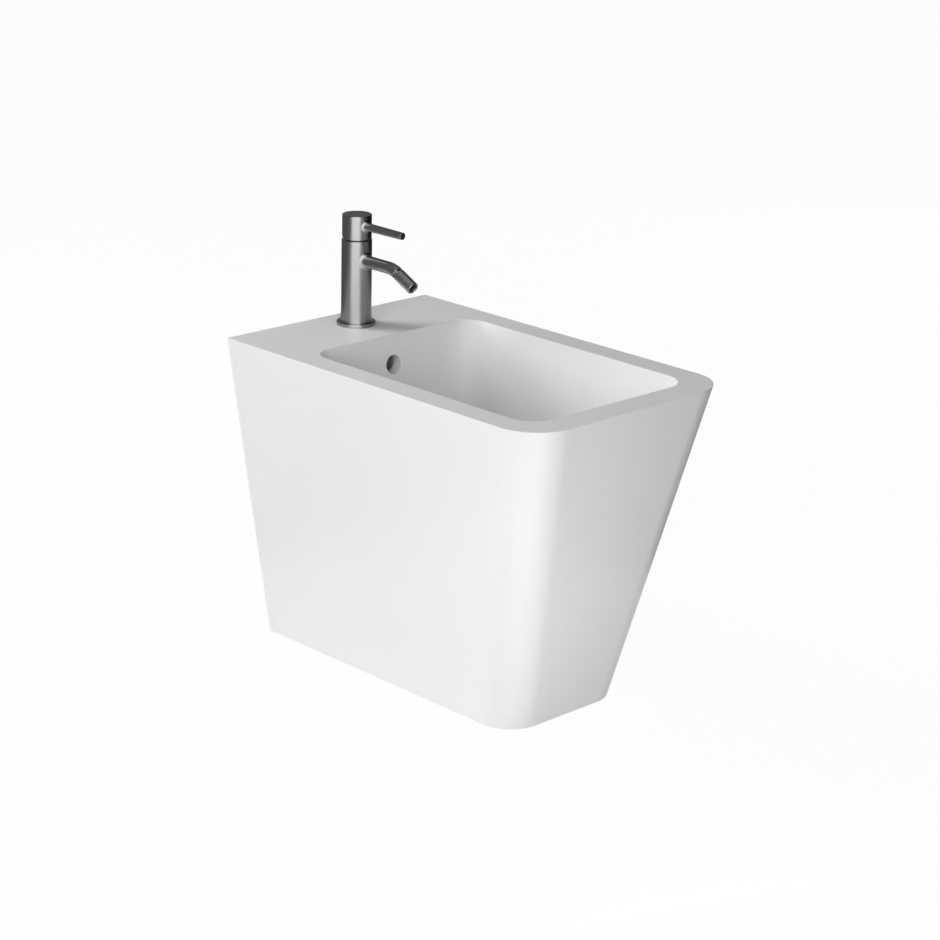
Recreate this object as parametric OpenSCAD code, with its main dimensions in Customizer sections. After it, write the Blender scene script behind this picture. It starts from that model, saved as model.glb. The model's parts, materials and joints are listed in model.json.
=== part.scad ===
// Floor standing bidet with a single hole lever mixer, a swivel spout nozzle,
// a push plug waste and a compact bottle trap. Millimetres, Z up, the user sits
// at -Y, the wall is at +Y. Z = 0 is the floor, X = Y = 0 the middle of the rim plan.

/* [View] */
// which node to draw, or all

/* [Ceramic body] */
// width of the rim
body_w = 345; // [300:5:420]
// depth of the rim, wall to front
body_d = 550; // [480:5:660]
// height of the rim over the floor
body_h = 420; // [400:2:506]
// width of the foot on the floor
foot_w = 205; // [180:5:260]
// how far the foot stands back from the rim's front
foot_inset = 95; // [60:5:120]
// radius of the front corners at the rim
rim_corner_r = 57; // [40:1:70]
// radius of the front corners at the floor
foot_corner_r = 47; // [30:1:60]
// thickness of the outer walls
wall_t = 12; // [9:1:16]
// thickness of the tap ledge
ledge_t = 14; // [10:1:18]

/* [Basin] */
// width of the basin mouth
basin_w = 274; // [220:2:300]
// width of the rim in front of the basin
front_rim = 38.4; // [30:0.2:60]
// depth of the ledge behind the basin
ledge_d = 121.5; // [110:0.5:140]
// radius of the mouth's front corners
mouth_front_r = 36; // [20:1:50]
// radius of the mouth's rear corners
mouth_rear_r = 30; // [20:1:50]
// lean of the basin's side walls from rim to floor
side_draft = 12; // [6:1:20]
// lean of the basin's front wall
front_draft = 20; // [10:1:30]
// lean of the basin's rear wall
rear_draft = 14; // [8:1:24]
// depth of the basin at the waste
basin_depth = 150; // [110:5:165]
// rise of the basin's floor from the waste to the front
floor_rise = 8; // [4:1:14]
// radius between basin walls and floor
basin_fillet = 50; // [30:1:60]
// thickness of the basin shell
basin_t = 11; // [8:1:14]
// diameter of the overflow hole
overflow_d = 25; // [18:1:30]
// drop of the overflow's middle under the rim
overflow_drop = 39; // [34:1:50]

/* [Mixer] */
// distance of the mixer axis from the wall
tap_setback = 53; // [45:1:60]
// diameter of the tap hole
tap_hole_d = 35; // [34:0.5:42]
// diameter of the mixer column
column_d = 39.6; // [38.6:0.2:48]
// height of the column over the ledge
column_h = 113.3; // [104:0.1:130]
// diameter of the handle cap
cap_d = 38.4; // [38:0.2:42]
// height of the handle cap
cap_h = 31.2; // [28:0.2:36]
// seam between column and cap
cap_seam = 1.8; // [1.5:0.1:2.5]
// diameter of the base ring
ring_d = 51; // [50:0.5:60]
// height of the base ring
ring_h = 5; // [4:0.5:8]
// diameter of the hot and cold inlet threads
inlet_d = 9; // [8:0.5:10]
// depth of the inlet threads
inlet_l = 14; // [10:1:20]
// reach of the lever pin from the axis
lever_reach = 87; // [60:1:110]
// diameter of the lever pin where it meets the cap
lever_root_d = 10.8; // [9:0.1:12]
// diameter of the lever pin at its tip
lever_tip_d = 9.5; // [7:0.1:11]
// largest lift of the lever, degrees
lever_lift = 18; // [10:1:20]
// running clearance of cartridge parts, radial
run_gap = 0.08; // [0.03:0.01:0.1]

/* [Spout] */
// height of the spout axis over the ledge
spout_h = 87; // [80:1:92]
// diameter of spout and nozzle
spout_d = 16; // [15.6:0.2:20]
// distance of the bend from the mixer axis
bend_reach = 70; // [55:1:90]
// fall of the spout end and the nozzle, degrees
spout_fall = 26; // [15:1:40]
// length of the bent end after the bend's vertex
end_run = 9.85; // [6:0.05:14]
// length of the nozzle
nozzle_l = 30.7; // [24:0.1:40]
// diameter of the nozzle's ball
ball_d = 12.4; // [11:0.1:12.8]

/* [Waste and trap] */
// waste position behind the middle
waste_y = 30; // [0:5:60]
// radius of the waste hole in the ceramic
waste_hole_r = 23; // [22:0.5:25]
// diameter of the waste's thread
waste_d = 41.9; // [38:0.1:44]
// wall of the waste's threaded tube
waste_wall = 2.95; // [2:0.05:3.5]
// diameter of the waste's flange
flange_d = 63; // [58:1:70]
// lift of the plug between shut and open
plug_lift = 8.5; // [6:0.5:10]
// diameter of the drain tubes
tube_d = 32; // [28:0.1:38.4]
// wall of the drain tubes
tube_wall = 1.5; // [1.2:0.1:2.5]
// height of the drain outlet over the floor
outlet_z = 125; // [115:1:135]
// radius of the bottle trap
bottle_r = 31; // [28:1:36]
// wall of the bottle trap
bottle_t = 2.5; // [2:0.1:3]
// depth of the water seal
water_seal = 50; // [50:1:60]

/* [Floor fixing] */
// distance between the two floor fixings
fixing_pitch = 140; // [120:2:150]
// distance of the fixings from the wall
fixing_setback = 75; // [50:5:120]
// hole in the fixing bushes
fixing_hole_d = 8.5; // [7:0.5:10]
// height of the foot lugs
lug_h = 18; // [14:1:24]

/* [Hidden] */

// colours
glaze = [0.93, 0.93, 0.92];
satin = [0.5, 0.5, 0.5];
zinc = [0.75, 0.76, 0.78];
rubber = [0.08, 0.08, 0.08];
brass = [0.8, 0.65, 0.35];
nylon = [0.88, 0.87, 0.83];
disc_white = [0.95, 0.95, 0.93];
dark = [0.25, 0.25, 0.27];
chrome = [0.84, 0.84, 0.86];
white_plastic = [0.87, 0.87, 0.89];

slice = 0.02;       // thin slice that a hull starts from
cut = 1;            // how far a cut runs past a face
long_cut = 60;      // a cut that runs right out of a piece
fit_gap = 0.05;     // clearance of pieces that are pushed or screwed together
slip_gap = 0.3;     // clearance of tubes in their nuts and sockets

// ceramic body
wall_y = body_d / 2;
front_y = -body_d / 2;
rear_in_y = wall_y - ledge_d;
front_in_y = front_y + front_rim;
floor_z = body_h - basin_depth;
tap_y = wall_y - tap_setback;
duct_w = 26;
duct_depth = 16;
duct_h = 15;
duct_wall = 8;
duct_chamber_r = 33;
duct_y = rear_in_y + basin_t - 2;
duct_top = body_h - overflow_drop + overflow_d / 2 + 6;
opening_rim = 34;
opening_top_rim = 42;
opening_sill = 40;
opening_head = 48;
lug_w = 48;
lug_d = 34;
lug_shift = 6;

// floor fixing
fixing_y = wall_y - fixing_setback;
fixing_r = fixing_hole_d / 2;
bush_r = fixing_r + 3;
bush_flange = 2.5;
washer_t = 1.6;

// mixer body
column_r = column_d / 2;
body_top = body_h + column_h;
spigot_gap = 0.9;
spigot_drop = 8;
flare = 1.1;
flare_h = 12;
inlet_r = inlet_d / 2;
inlet_x = 7.5;
inlet_y = 3.5;
inlet_lead = 0.5;
port_x = 5.1;
port_r = 2;
way_r = 2.8;
mix_y = 5.5;
PORTS = [[-port_x, inlet_y], [port_x, inlet_y], [0, -mix_y]];
stud_r = 4;
stud_y = 9.5;
groove_w = 2.5;
groove_h = 2;
groove_r = (tap_hole_d + ring_d) / 4 - groove_w / 2;
edge_r = 1.5;

// cartridge stack, heights over the floor
seat_z = body_top - 17.8;
seal_h = 1;
base_h = 3;
disc_h = 3;
disc_gap = 0.1;
fixed_z = seat_z + seal_h + base_h;
moving_z = fixed_z + disc_h + disc_gap;
rotor_z = moving_z + disc_h + 0.3;
rotor_h = 10;
boss_h = 15;
pivot_z = rotor_z + 6;
pivot_r = 1.25;
pivot_l = 17;
disc_shift = 0.95;
moving_r = 8.1;
ball_up = 3.2;
tilt_arm = pivot_z - moving_z - ball_up;
stem_ball_r = 2.1;
stem_w = 5;
stem_d = 6;
bore_r = 12.6;
housing_r = 12.4;
housing_h = 10.5;
collar_r = 11;
rotor_r = 9.5;
boss_r = 7.1;
nut_r = 15;
nut_drop = 8.5;

// handle
cap_r = cap_d / 2;
cap_z0 = body_top + cap_seam;
cap_z1 = cap_z0 + cap_h;
cap_wall = 2.2;
cap_top_t = 3.6;
cap_edge_r = 1;
socket_top = cap_z1 - 7;
lever_z = cap_z0 + 17.5;
lever_root = cap_r - 1;
lever_edge_r = 1.2;
lever_thread_r = 3;

// spout and nozzle, s is the way along the nozzle's axis from the ball's middle
spout_z = body_h + spout_h;
spout_r = spout_d / 2;
tube_bore_r = 5;
spigot_r = 6.45;
spigot_l = 4.5;
socket_y0 = tap_y - column_r + 1.8;
ball_r = ball_d / 2;
ball_run = 0.06;
ball_bore_r = 2.5;
liner_t = 0.62;
nozzle_in_r = ball_r + 0.8;
lip_s = -3.5;
lip_chamfer = 1.2;
swing_slope = 0.25;
neck_s = lip_s - (spout_r - lip_chamfer) * swing_slope;
neck_r = ball_r - 2.2;
wire_r = 0.75;
wire_ring_r = nozzle_in_r - wire_r - fit_gap;
wire_s = sqrt(pow(ball_r + wire_r + 0.27, 2) - pow(wire_ring_r, 2));
aerator_s = ball_r + 0.5;
aerator_r = nozzle_in_r - 1.1;
tip_s = lip_s + nozzle_l;
pivot_run = end_run - neck_s;
bend_r = end_run / tan(spout_fall / 2);
bend_y = tap_y - bend_reach + end_run;
pivot_y = tap_y - bend_reach - pivot_run * cos(spout_fall);
pivot_h = spout_z - pivot_run * sin(spout_fall);

// waste
seat_drop = 2;
seat_r = 36;
lower_seat_r = 48;
shelf_z = floor_z - seat_drop;
flange_r = flange_d / 2;
flange_t = 2.6;
flange_gasket_t = 1;
flange_top = shelf_z + flange_gasket_t + flange_t;
plug_seat_r = 25;
seal_t = 1.5;
plate_z1 = floor_z - basin_t - duct_h;
plate_z0 = plate_z1 - duct_wall;
waste_r = waste_d / 2;
waste_in_r = waste_r - waste_wall;
waste_l = 40;
waste_z0 = plate_z0 - waste_l;
spider_z = plate_z0 + 2;
spider_h = 5;
spider_r = 8;
spoke_w = 3;
slot_w = 18;
slot_h = 9;
slot_in_r = waste_in_r - 3;
slot_l = 8;
slot_z = plate_z1 + 3;
gasket_h = 5;
gasket_r = 31;
backnut_h = 9;
backnut_r = 28;
guide_r = 5;
guide_head_r = 7;
plug_stem_r = 3;
plug_r = 31;
plug_t = 3.2;
plug_edge_r = 1.6;
plug_hub_r = 6;
plug_skirt_r = waste_in_r - 1.6;
plug_z0 = flange_top + 0.2 + plug_lift;

// trap
tube_r = tube_d / 2;
tube_in_r = tube_r - tube_wall;
collar_t = 5.5;
neck_step = 0.45;
nut_h = 14;
inlet_nut_h = 20;
inlet_nut_r = max(26, tube_r + 8.5);
washer_h = 2;
thread_step = 2.4;
thread_l = 14;
cup_lap = 10;
body_z0 = outlet_z - tube_r - collar_t - cup_lap - 1.5;
body_z1 = outlet_z + tube_r + 7;
dip_z = outlet_z - tube_in_r - water_seal;
cup_z0 = dip_z - 16;
cup_top = body_z0 + cup_lap;
cup_r = bottle_r + 1.5;
thread_r = bottle_r - thread_step;
socket_y = waste_y + bottle_r + 14;
tube_y0 = waste_y + 24;
tube_step_y = socket_y + 8;

// width of the outside at height z
function width_at(z) = foot_w + (body_w - foot_w) * z / body_h;
// front of the outside at height z
function front_at(z) = front_y + foot_inset * (1 - z / body_h);
// front corner radius of the outside at height z
function corner_at(z) = foot_corner_r + (rim_corner_r - foot_corner_r) * z / body_h;

// stands a piece on the mixer's axis
module at_tap(z) {
    translate([0, tap_y, z])
        children();
}

// stands a piece on the waste's axis
module at_waste(z) {
    translate([0, waste_y, z])
        children();
}

// stands a piece on the nozzle's axis: local +Z runs out of the nozzle, 0 is the ball's middle
module on_nozzle(s) {
    translate([0, pivot_y, pivot_h])
        rotate([90 + spout_fall, 0, 0])
            translate([0, 0, s])
                children();
}

// turns local +Z towards the user
module to_front() {
    rotate([90, 0, 0])
        children();
}

// turns local +Z towards the wall
module to_wall() {
    rotate([-90, 0, 0])
        children();
}

// ring that stands on Z = 0
module ring(outer_r, inner_r, h) {
    difference() {
        cylinder(r = outer_r, h = h);
        translate([0, 0, -cut])
            cylinder(r = inner_r, h = h + 2 * cut);
    }
}

// cylinder with a rounded upper edge
module round_disc(r, h, edge) {
    rotate_extrude() {
        square([r - edge, h]);
        square([r, h - edge]);
        translate([r - edge, h - edge])
            circle(r = edge);
    }
}

// plan of the ceramic at height z, set in by inset, square at the wall
module plan(z, inset, rear_inset) {
    w = width_at(z) - 2 * inset;
    y0 = front_at(z) + inset;
    y1 = wall_y - rear_inset;
    r = corner_at(z) - inset;
    translate([-w / 2, y0 + r])
        square([w, y1 - y0 - r]);
    translate([-w / 2 + r, y0])
        square([w - 2 * r, r + cut]);
    for (s = [-1, 1])
        translate([s * (w / 2 - r), y0 + r])
            circle(r = r, $fn = 72);
}

// tapered block between two heights
module taper(z0, z1, inset, rear_inset) {
    hull() {
        translate([0, 0, z0])
            linear_extrude(slice)
                plan(z0, inset, rear_inset);
        translate([0, 0, z1 - slice])
            linear_extrude(slice)
                plan(z1, inset, rear_inset);
    }
}

// the basin's hollow, grown outward by grow; its floor falls towards the rear
module basin_form(grow, top_z) {
    fr = basin_fillet;
    x_low = basin_w / 2 - side_draft - fr;
    hull() {
        for (s = [-1, 1]) {
            translate([s * (basin_w / 2 - mouth_front_r), front_in_y + mouth_front_r, body_h])
                cylinder(r = mouth_front_r + grow, h = top_z - body_h, $fn = 72);
            translate([s * (basin_w / 2 - mouth_rear_r), rear_in_y - mouth_rear_r, body_h])
                cylinder(r = mouth_rear_r + grow, h = top_z - body_h, $fn = 72);
            translate([s * x_low, front_in_y + front_draft + fr, floor_z + fr + floor_rise])
                sphere(r = fr + grow, $fn = 56);
            translate([s * x_low, rear_in_y - rear_draft - fr, floor_z + fr])
                sphere(r = fr + grow, $fn = 56);
        }
    }
}

// duct cast under the basin from the overflow hole to the waste hole, grown outward by grow
module overflow_duct(grow) {
    w = duct_w + 2 * grow;
    z0 = plate_z1 - grow;
    translate([-w / 2, duct_y - grow, z0])
        cube([w, duct_depth + 2 * grow, duct_top - plate_z1 + 2 * grow]);
    translate([-w / 2, waste_y, z0])
        cube([w, duct_y + duct_depth / 2 - waste_y, duct_h + 2 * grow]);
    at_waste(z0)
        cylinder(r = duct_chamber_r + grow, h = duct_h + 2 * grow);
}

// solid lugs inside the foot for the floor fixing
module foot_lugs() {
    for (s = [-1, 1])
        translate([s * (fixing_pitch / 2 + lug_shift) - lug_w / 2, fixing_y - lug_d / 2, 0])
            cube([lug_w, lug_d, lug_h]);
}

// opening in the rear wall that gives way to trap and hoses
module service_opening() {
    low_x = width_at(0) / 2 - opening_rim;
    high_x = width_at(body_h) / 2 - opening_top_rim;
    translate([0, wall_y + cut, 0])
        to_front()
            linear_extrude(wall_t + 2 * cut)
                polygon([
                    [-low_x, opening_sill],
                    [low_x, opening_sill],
                    [high_x, body_h - opening_head],
                    [-high_x, body_h - opening_head]
                ]);
}

// the one piece ceramic: tapered shell, basin, overflow duct, ledge and foot lugs
module ceramic_body() {
    color(glaze)
    difference() {
        union() {
            difference() {
                taper(0, body_h, 0, 0);
                taper(-4, body_h - ledge_t, wall_t, wall_t);
            }
            intersection() {
                taper(0, body_h, 1, 1);
                union() {
                    basin_form(basin_t, body_h + cut);
                    overflow_duct(duct_wall);
                    foot_lugs();
                }
            }
        }
        basin_form(0, body_h + cut);
        overflow_duct(0);
        // overflow hole through the basin's rear wall
        translate([0, duct_y + duct_depth / 2, body_h - overflow_drop])
            to_front()
                cylinder(d = overflow_d, h = duct_depth / 2 + basin_t + rear_draft);
        // seat of the waste's flange
        at_waste(shelf_z)
            cylinder(r = seat_r, h = 22);
        at_waste(plate_z0 - cut)
            cylinder(r = waste_hole_r, h = long_cut);
        // flat seat for the waste's lower gasket
        at_waste(plate_z0 - 30)
            cylinder(r = lower_seat_r, h = 30);
        at_tap(body_h - ledge_t - cut)
            cylinder(d = tap_hole_d, h = ledge_t + 2 * cut);
        service_opening();
        for (s = [-1, 1])
            translate([s * fixing_pitch / 2, fixing_y, -cut])
                cylinder(r = bush_r, h = lug_h + 2 * cut);
    }
}

// nylon bushes in the foot lugs
module fixing_bushes() {
    color(nylon)
    for (s = [-1, 1])
        translate([s * fixing_pitch / 2, fixing_y, 0])
            difference() {
                union() {
                    translate([0, 0, 1])
                        cylinder(r = bush_r - fit_gap, h = lug_h - 1);
                    translate([0, 0, lug_h])
                        cylinder(r = bush_r + 3, h = bush_flange);
                }
                cylinder(r = fixing_r, h = long_cut);
            }
}

// steel washers on the bushes
module fixing_washers() {
    color(zinc)
    for (s = [-1, 1])
        translate([s * fixing_pitch / 2, fixing_y, lug_h + bush_flange])
            ring(fixing_r + 5, fixing_r, washer_t);
}

// ring between column and ledge, with a groove for its seal
module tap_base_ring() {
    r0 = tap_hole_d / 2 - 0.4;
    r1 = ring_d / 2;
    color(satin)
    at_tap(body_h)
        rotate_extrude()
            difference() {
                union() {
                    translate([r0, 0])
                        square([r1 - edge_r - r0, ring_h]);
                    translate([r0 + edge_r, 0])
                        square([r1 - r0 - edge_r, ring_h - edge_r]);
                    translate([r1 - edge_r, ring_h - edge_r])
                        circle(r = edge_r);
                }
                translate([groove_r, -cut])
                    square([groove_w, groove_h + cut]);
            }
}

// rubber seal in the ring's groove
module tap_base_seal() {
    color(rubber)
    at_tap(body_h)
        ring(groove_r + groove_w - fit_gap, groove_r + fit_gap, groove_h - fit_gap);
}

// outside of the mixer's column, with its spigot in the tap hole
module column_form() {
    spigot_end_r = tap_hole_d / 2 - spigot_gap;
    z1 = body_h + ring_h;
    at_tap(0)
        rotate_extrude()
            polygon([
                [0, body_h - spigot_drop],
                [spigot_end_r, body_h - spigot_drop],
                [spigot_end_r, z1],
                [column_r + flare, z1],
                [column_r + flare, z1 + 1.5],
                [column_r, z1 + flare_h],
                [column_r, body_top - 0.5],
                [column_r - 0.5, body_top],
                [0, body_top]
            ]);
}

// waterways of the mixer: threaded inlets with their lead-in, risers and the mixed water's way
module waterways() {
    low = body_h - spigot_drop - cut;
    for (s = [-1, 1]) {
        translate([s * inlet_x, inlet_y, low])
            cylinder(r = inlet_r + 0.7, h = body_h + inlet_lead - low);
        translate([s * inlet_x, inlet_y, body_h])
            cylinder(r = inlet_r, h = inlet_lead + inlet_l);
        translate([s * port_x, inlet_y, body_h + inlet_l])
            cylinder(r = port_r, h = column_h - inlet_l);
    }
    translate([0, -mix_y, spout_z])
        cylinder(r = way_r, h = seat_z + cut - spout_z);
}

// turned mixer body: column, spigot, waterways, cartridge seat and threads
module tap_body() {
    color(satin)
    difference() {
        column_form();
        at_tap(0)
            waterways();
        at_tap(seat_z)
            cylinder(r = bore_r, h = long_cut);
        at_tap(seat_z + nut_drop)
            cylinder(r = nut_r, h = long_cut);
        // thread of the fixing stud
        translate([0, tap_y - stud_y, body_h - spigot_drop - cut])
            cylinder(r = stud_r, h = spigot_drop + ring_h + 2);
        // stepped spout socket and the bore behind it
        translate([0, socket_y0, spout_z])
            to_front()
                cylinder(r = spout_r + fit_gap, h = 10);
        translate([0, socket_y0 + spigot_l, spout_z])
            to_front()
                cylinder(r = spigot_r + fit_gap, h = 10);
        translate([0, tap_y - column_r - cut, spout_z])
            to_wall()
                cylinder(r = tube_bore_r, h = column_r + cut - mix_y + way_r);
    }
}

// spout outline with radius r: straight from back_y to the bend, then the bend
module spout_sweep(r, back_y) {
    translate([0, bend_y, spout_z])
        to_wall()
            cylinder(r = r, h = back_y - bend_y);
    translate([0, bend_y, spout_z - bend_r])
        rotate([90, 0, 90])
            rotate([0, 0, 90])
                rotate_extrude(angle = spout_fall)
                    translate([bend_r, 0])
                        circle(r = r);
}

// spout: spigot, straight tube and bend up to the ball stud's end face
module spout_tube() {
    color(satin)
    difference() {
        union() {
            spout_sweep(spout_r, socket_y0);
            translate([0, socket_y0 - cut, spout_z])
                to_wall()
                    cylinder(r = spigot_r, h = spigot_l + cut - fit_gap);
        }
        spout_sweep(tube_bore_r, socket_y0 + spigot_l + cut);
    }
}

// hollow ball on a threaded neck, fixed in the spout's end
module ball_stud() {
    thread_l = 3.5;
    collar_h = 0.6;
    color(zinc)
    difference() {
        union() {
            intersection() {
                on_nozzle(0)
                    sphere(r = ball_r);
                on_nozzle(-10)
                    cylinder(r = 10, h = 15);
            }
            on_nozzle(neck_s)
                cylinder(r = neck_r, h = -neck_s);
            on_nozzle(neck_s)
                cylinder(r1 = tube_bore_r + 0.3, r2 = neck_r, h = collar_h);
            on_nozzle(neck_s - thread_l)
                cylinder(r = tube_bore_r - 0.3, h = thread_l + 0.1);
        }
        on_nozzle(-20)
            cylinder(r = ball_bore_r, h = long_cut);
    }
}

// plastic cartridge housing with three ports in its base
module cartridge_housing() {
    z0 = seat_z + seal_h;
    color(nylon)
    difference() {
        union() {
            at_tap(z0)
                cylinder(r = housing_r, h = housing_h - seal_h);
            at_tap(z0)
                cylinder(r = collar_r, h = rotor_z + 12.6 - z0);
        }
        at_tap(fixed_z)
            cylinder(r = rotor_r + run_gap, h = rotor_z + rotor_h + slip_gap - fixed_z);
        at_tap(fixed_z)
            cylinder(r = boss_r + run_gap, h = long_cut);
        for (p = PORTS)
            translate([p[0], tap_y + p[1], seat_z])
                cylinder(r = port_r, h = 10);
    }
}

// brass nut that holds the cartridge down
module cartridge_nut() {
    z0 = seat_z + nut_drop + 0.1;
    color(brass)
    difference() {
        union() {
            at_tap(z0)
                cylinder(r = nut_r - fit_gap, h = body_top - z0 + 0.2);
            at_tap(z0)
                cylinder(r = nut_r - 0.6, h = body_top - z0 + 4.5, $fn = 6);
        }
        at_tap(z0 - cut)
            cylinder(r = housing_r + 0.1, h = 2.9);
        at_tap(z0 - cut)
            cylinder(r = collar_r + fit_gap, h = long_cut);
    }
}

// rubber rings between the cartridge base and the body's seat
module cartridge_seals() {
    color(rubber)
    for (p = PORTS)
        translate([p[0], tap_y + p[1], seat_z])
            ring(way_r + 1, way_r, seal_h);
}

// fixed ceramic disc with three ports
module fixed_disc() {
    color(disc_white)
    at_tap(fixed_z)
        difference() {
            cylinder(r = rotor_r, h = disc_h);
            for (p = PORTS)
                translate([p[0], p[1], -cut])
                    cylinder(r = port_r, h = 10);
        }
}

// stud from the mixer's base through the ledge
module fixing_stud() {
    color(zinc)
    translate([0, tap_y - stud_y, body_h - ledge_t - 50])
        cylinder(r = stud_r - fit_gap, h = ledge_t + 50 + ring_h);
}

// plan of the horseshoe pieces under the ledge: a disc with a slot for hoses and a hole for the stud
module horseshoe(r, h) {
    slot_x = 26;
    difference() {
        cylinder(r = r, h = h);
        translate([0, -stud_y, -cut])
            cylinder(r = stud_r + 0.2, h = h + 2 * cut);
        translate([-slot_x / 2, -2, -cut])
            cube([slot_x, r + 2 + cut, h + 2 * cut]);
    }
}

// rubber horseshoe against the ledge's underside
module horseshoe_gasket() {
    color(rubber)
    at_tap(body_h - ledge_t - 3)
        horseshoe(24, 3);
}

// steel horseshoe under the gasket
module horseshoe_washer() {
    color(zinc)
    at_tap(body_h - ledge_t - 5.5)
        horseshoe(23, 2.5);
}

// long hexagon nut on the stud
module fixing_nut() {
    nut_l = 14;
    color(brass)
    translate([0, tap_y - stud_y, body_h - ledge_t - 5.5 - nut_l])
        difference() {
            cylinder(r = 6.35, h = nut_l, $fn = 6);
            translate([0, 0, -cut])
                cylinder(r = stud_r, h = nut_l + 2 * cut);
        }
}

// turning carrier of the lever's stem
module rotor() {
    color(dark)
    difference() {
        union() {
            at_tap(rotor_z)
                cylinder(r = rotor_r, h = rotor_h);
            at_tap(rotor_z)
                cylinder(r = boss_r, h = boss_h);
        }
        // slot the stem tilts in
        translate([-stem_w / 2 - 0.1, tap_y - 5.6, rotor_z - cut])
            cube([stem_w + 0.2, 12.2, boss_h + 2 * cut]);
        pin_line(pivot_r, rotor_r * 2);
    }
}

// cylinder across the stem, on the axis it tilts about
module pin_line(r, l) {
    translate([-l / 2, tap_y, pivot_z])
        rotate([0, 90, 0])
            cylinder(r = r, h = l);
}

// pin the stem tilts on
module pivot_pin() {
    color(zinc)
    pin_line(pivot_r, pivot_l);
}

// sliding ceramic disc with a pocket for the stem's ball and a mixing pocket underneath
module moving_disc() {
    color(disc_white)
    difference() {
        translate([0, tap_y + disc_shift, moving_z])
            cylinder(r = moving_r, h = disc_h);
        at_tap(moving_z + 1)
            cylinder(r = stem_ball_r + 0.5, h = disc_h);
        for (s = [-1, 1])
            translate([s * 3.2, tap_y + disc_shift + 2.8, moving_z - cut])
                cylinder(r = 1.7, h = cut + 0.8);
    }
}

// lever stem: ball end, pivot eye and square top
module stem() {
    eye_z = pivot_z - 2.6;
    color(zinc)
    difference() {
        union() {
            at_tap(pivot_z - tilt_arm)
                sphere(r = stem_ball_r);
            at_tap(pivot_z - tilt_arm)
                cylinder(r = stem_ball_r - 0.5, h = tilt_arm);
            translate([-2.2, tap_y - stem_ball_r, pivot_z - 3])
                cube([4.4, 2 * stem_ball_r, 3]);
            translate([-stem_w / 2, tap_y - stem_d / 2, eye_z])
                cube([stem_w, stem_d, socket_top - eye_z]);
        }
        pin_line(pivot_r + run_gap, rotor_r * 2);
    }
}

// handle cap: cup with a boss for the stem, its rear lower edge cut back for the tilt
module handle_cap() {
    boss_z = 13.5;
    relief_y = 3.2;
    relief = 60;
    color(satin)
    difference() {
        at_tap(cap_z0)
            rotate_extrude() {
                translate([cap_r - cap_wall, 0])
                    square([cap_wall, cap_h - cap_edge_r]);
                translate([0, cap_h - cap_top_t])
                    square([cap_r - cap_edge_r, cap_top_t]);
                translate([cap_r - cap_edge_r, cap_h - cap_edge_r])
                    circle(r = cap_edge_r);
                translate([0, boss_z])
                    square([6.6, cap_h - boss_z - 1.5]);
            }
        // square socket of the stem
        translate([-stem_w / 2 - fit_gap, tap_y - stem_d / 2 - fit_gap, cap_z0])
            cube([stem_w + 2 * fit_gap, stem_d + 2 * fit_gap, socket_top - cap_z0]);
        // hole of the lever pin
        at_tap(lever_z)
            to_front()
                cylinder(r = lever_thread_r + fit_gap, h = 40);
        translate([-relief / 2, tap_y + relief_y, cap_z0])
            rotate([lever_lift + 2.5, 0, 0])
                translate([0, 0, -relief / 2])
                    cube([relief, relief, relief / 2]);
    }
}

// slim round lever, its thread clamps the stem in the cap
module lever_pin() {
    tip_y = tap_y - lever_reach + lever_edge_r;
    color(satin)
    difference() {
        union() {
            translate([0, tap_y - lever_root, lever_z])
                to_front()
                    cylinder(d1 = lever_root_d, d2 = lever_tip_d, h = tap_y - lever_root - tip_y);
            translate([0, tip_y + lever_edge_r, lever_z])
                to_front()
                    round_disc(lever_tip_d / 2, 2 * lever_edge_r, lever_edge_r);
            translate([0, tap_y - stem_d / 2, lever_z])
                to_front()
                    cylinder(r = lever_thread_r, h = cap_r - stem_d / 2);
        }
        // inside the cap only the thread is left
        difference() {
            at_tap(lever_z - 20)
                cylinder(r = cap_r, h = 40);
            at_tap(lever_z)
                to_front()
                    cylinder(r = lever_thread_r, h = 40);
        }
    }
}

// round plastic liner between the ball and the nozzle's socket
module ball_seat() {
    color(dark)
    difference() {
        intersection() {
            on_nozzle(0)
                sphere(r = ball_r + ball_run + liner_t);
            on_nozzle(-3)
                cylinder(r = 10, h = 4.4);
        }
        on_nozzle(0)
            sphere(r = ball_r + ball_run);
    }
}

// nozzle shell
module nozzle_body() {
    tip_chamfer = 0.8;
    color(satin)
    difference() {
        on_nozzle(0)
            rotate_extrude()
                polygon([
                    [0, lip_s],
                    [spout_r - lip_chamfer, lip_s],
                    [spout_r, lip_s + lip_chamfer],
                    [spout_r, tip_s - tip_chamfer],
                    [spout_r - tip_chamfer, tip_s],
                    [0, tip_s]
                ]);
        on_nozzle(0)
            cylinder(r = nozzle_in_r, h = long_cut);
        on_nozzle(0)
            sphere(r = ball_r + liner_t + 2 * ball_run);
    }
}

// rubber ring between the ball and the nozzle's bore
module nozzle_seal() {
    color(rubber)
    on_nozzle(wire_s)
        rotate_extrude()
            translate([wire_ring_r, 0])
                circle(r = wire_r);
}

// aerator housing screwed into the nozzle
module aerator_housing() {
    color([0.8, 0.8, 0.8])
    difference() {
        on_nozzle(aerator_s)
            cylinder(r = nozzle_in_r - fit_gap, h = tip_s - 1 - aerator_s);
        on_nozzle(aerator_s + 1.5)
            cylinder(r = aerator_r, h = long_cut);
        on_nozzle(0)
            cylinder(r = aerator_r - 1.7, h = long_cut);
    }
}

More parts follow.
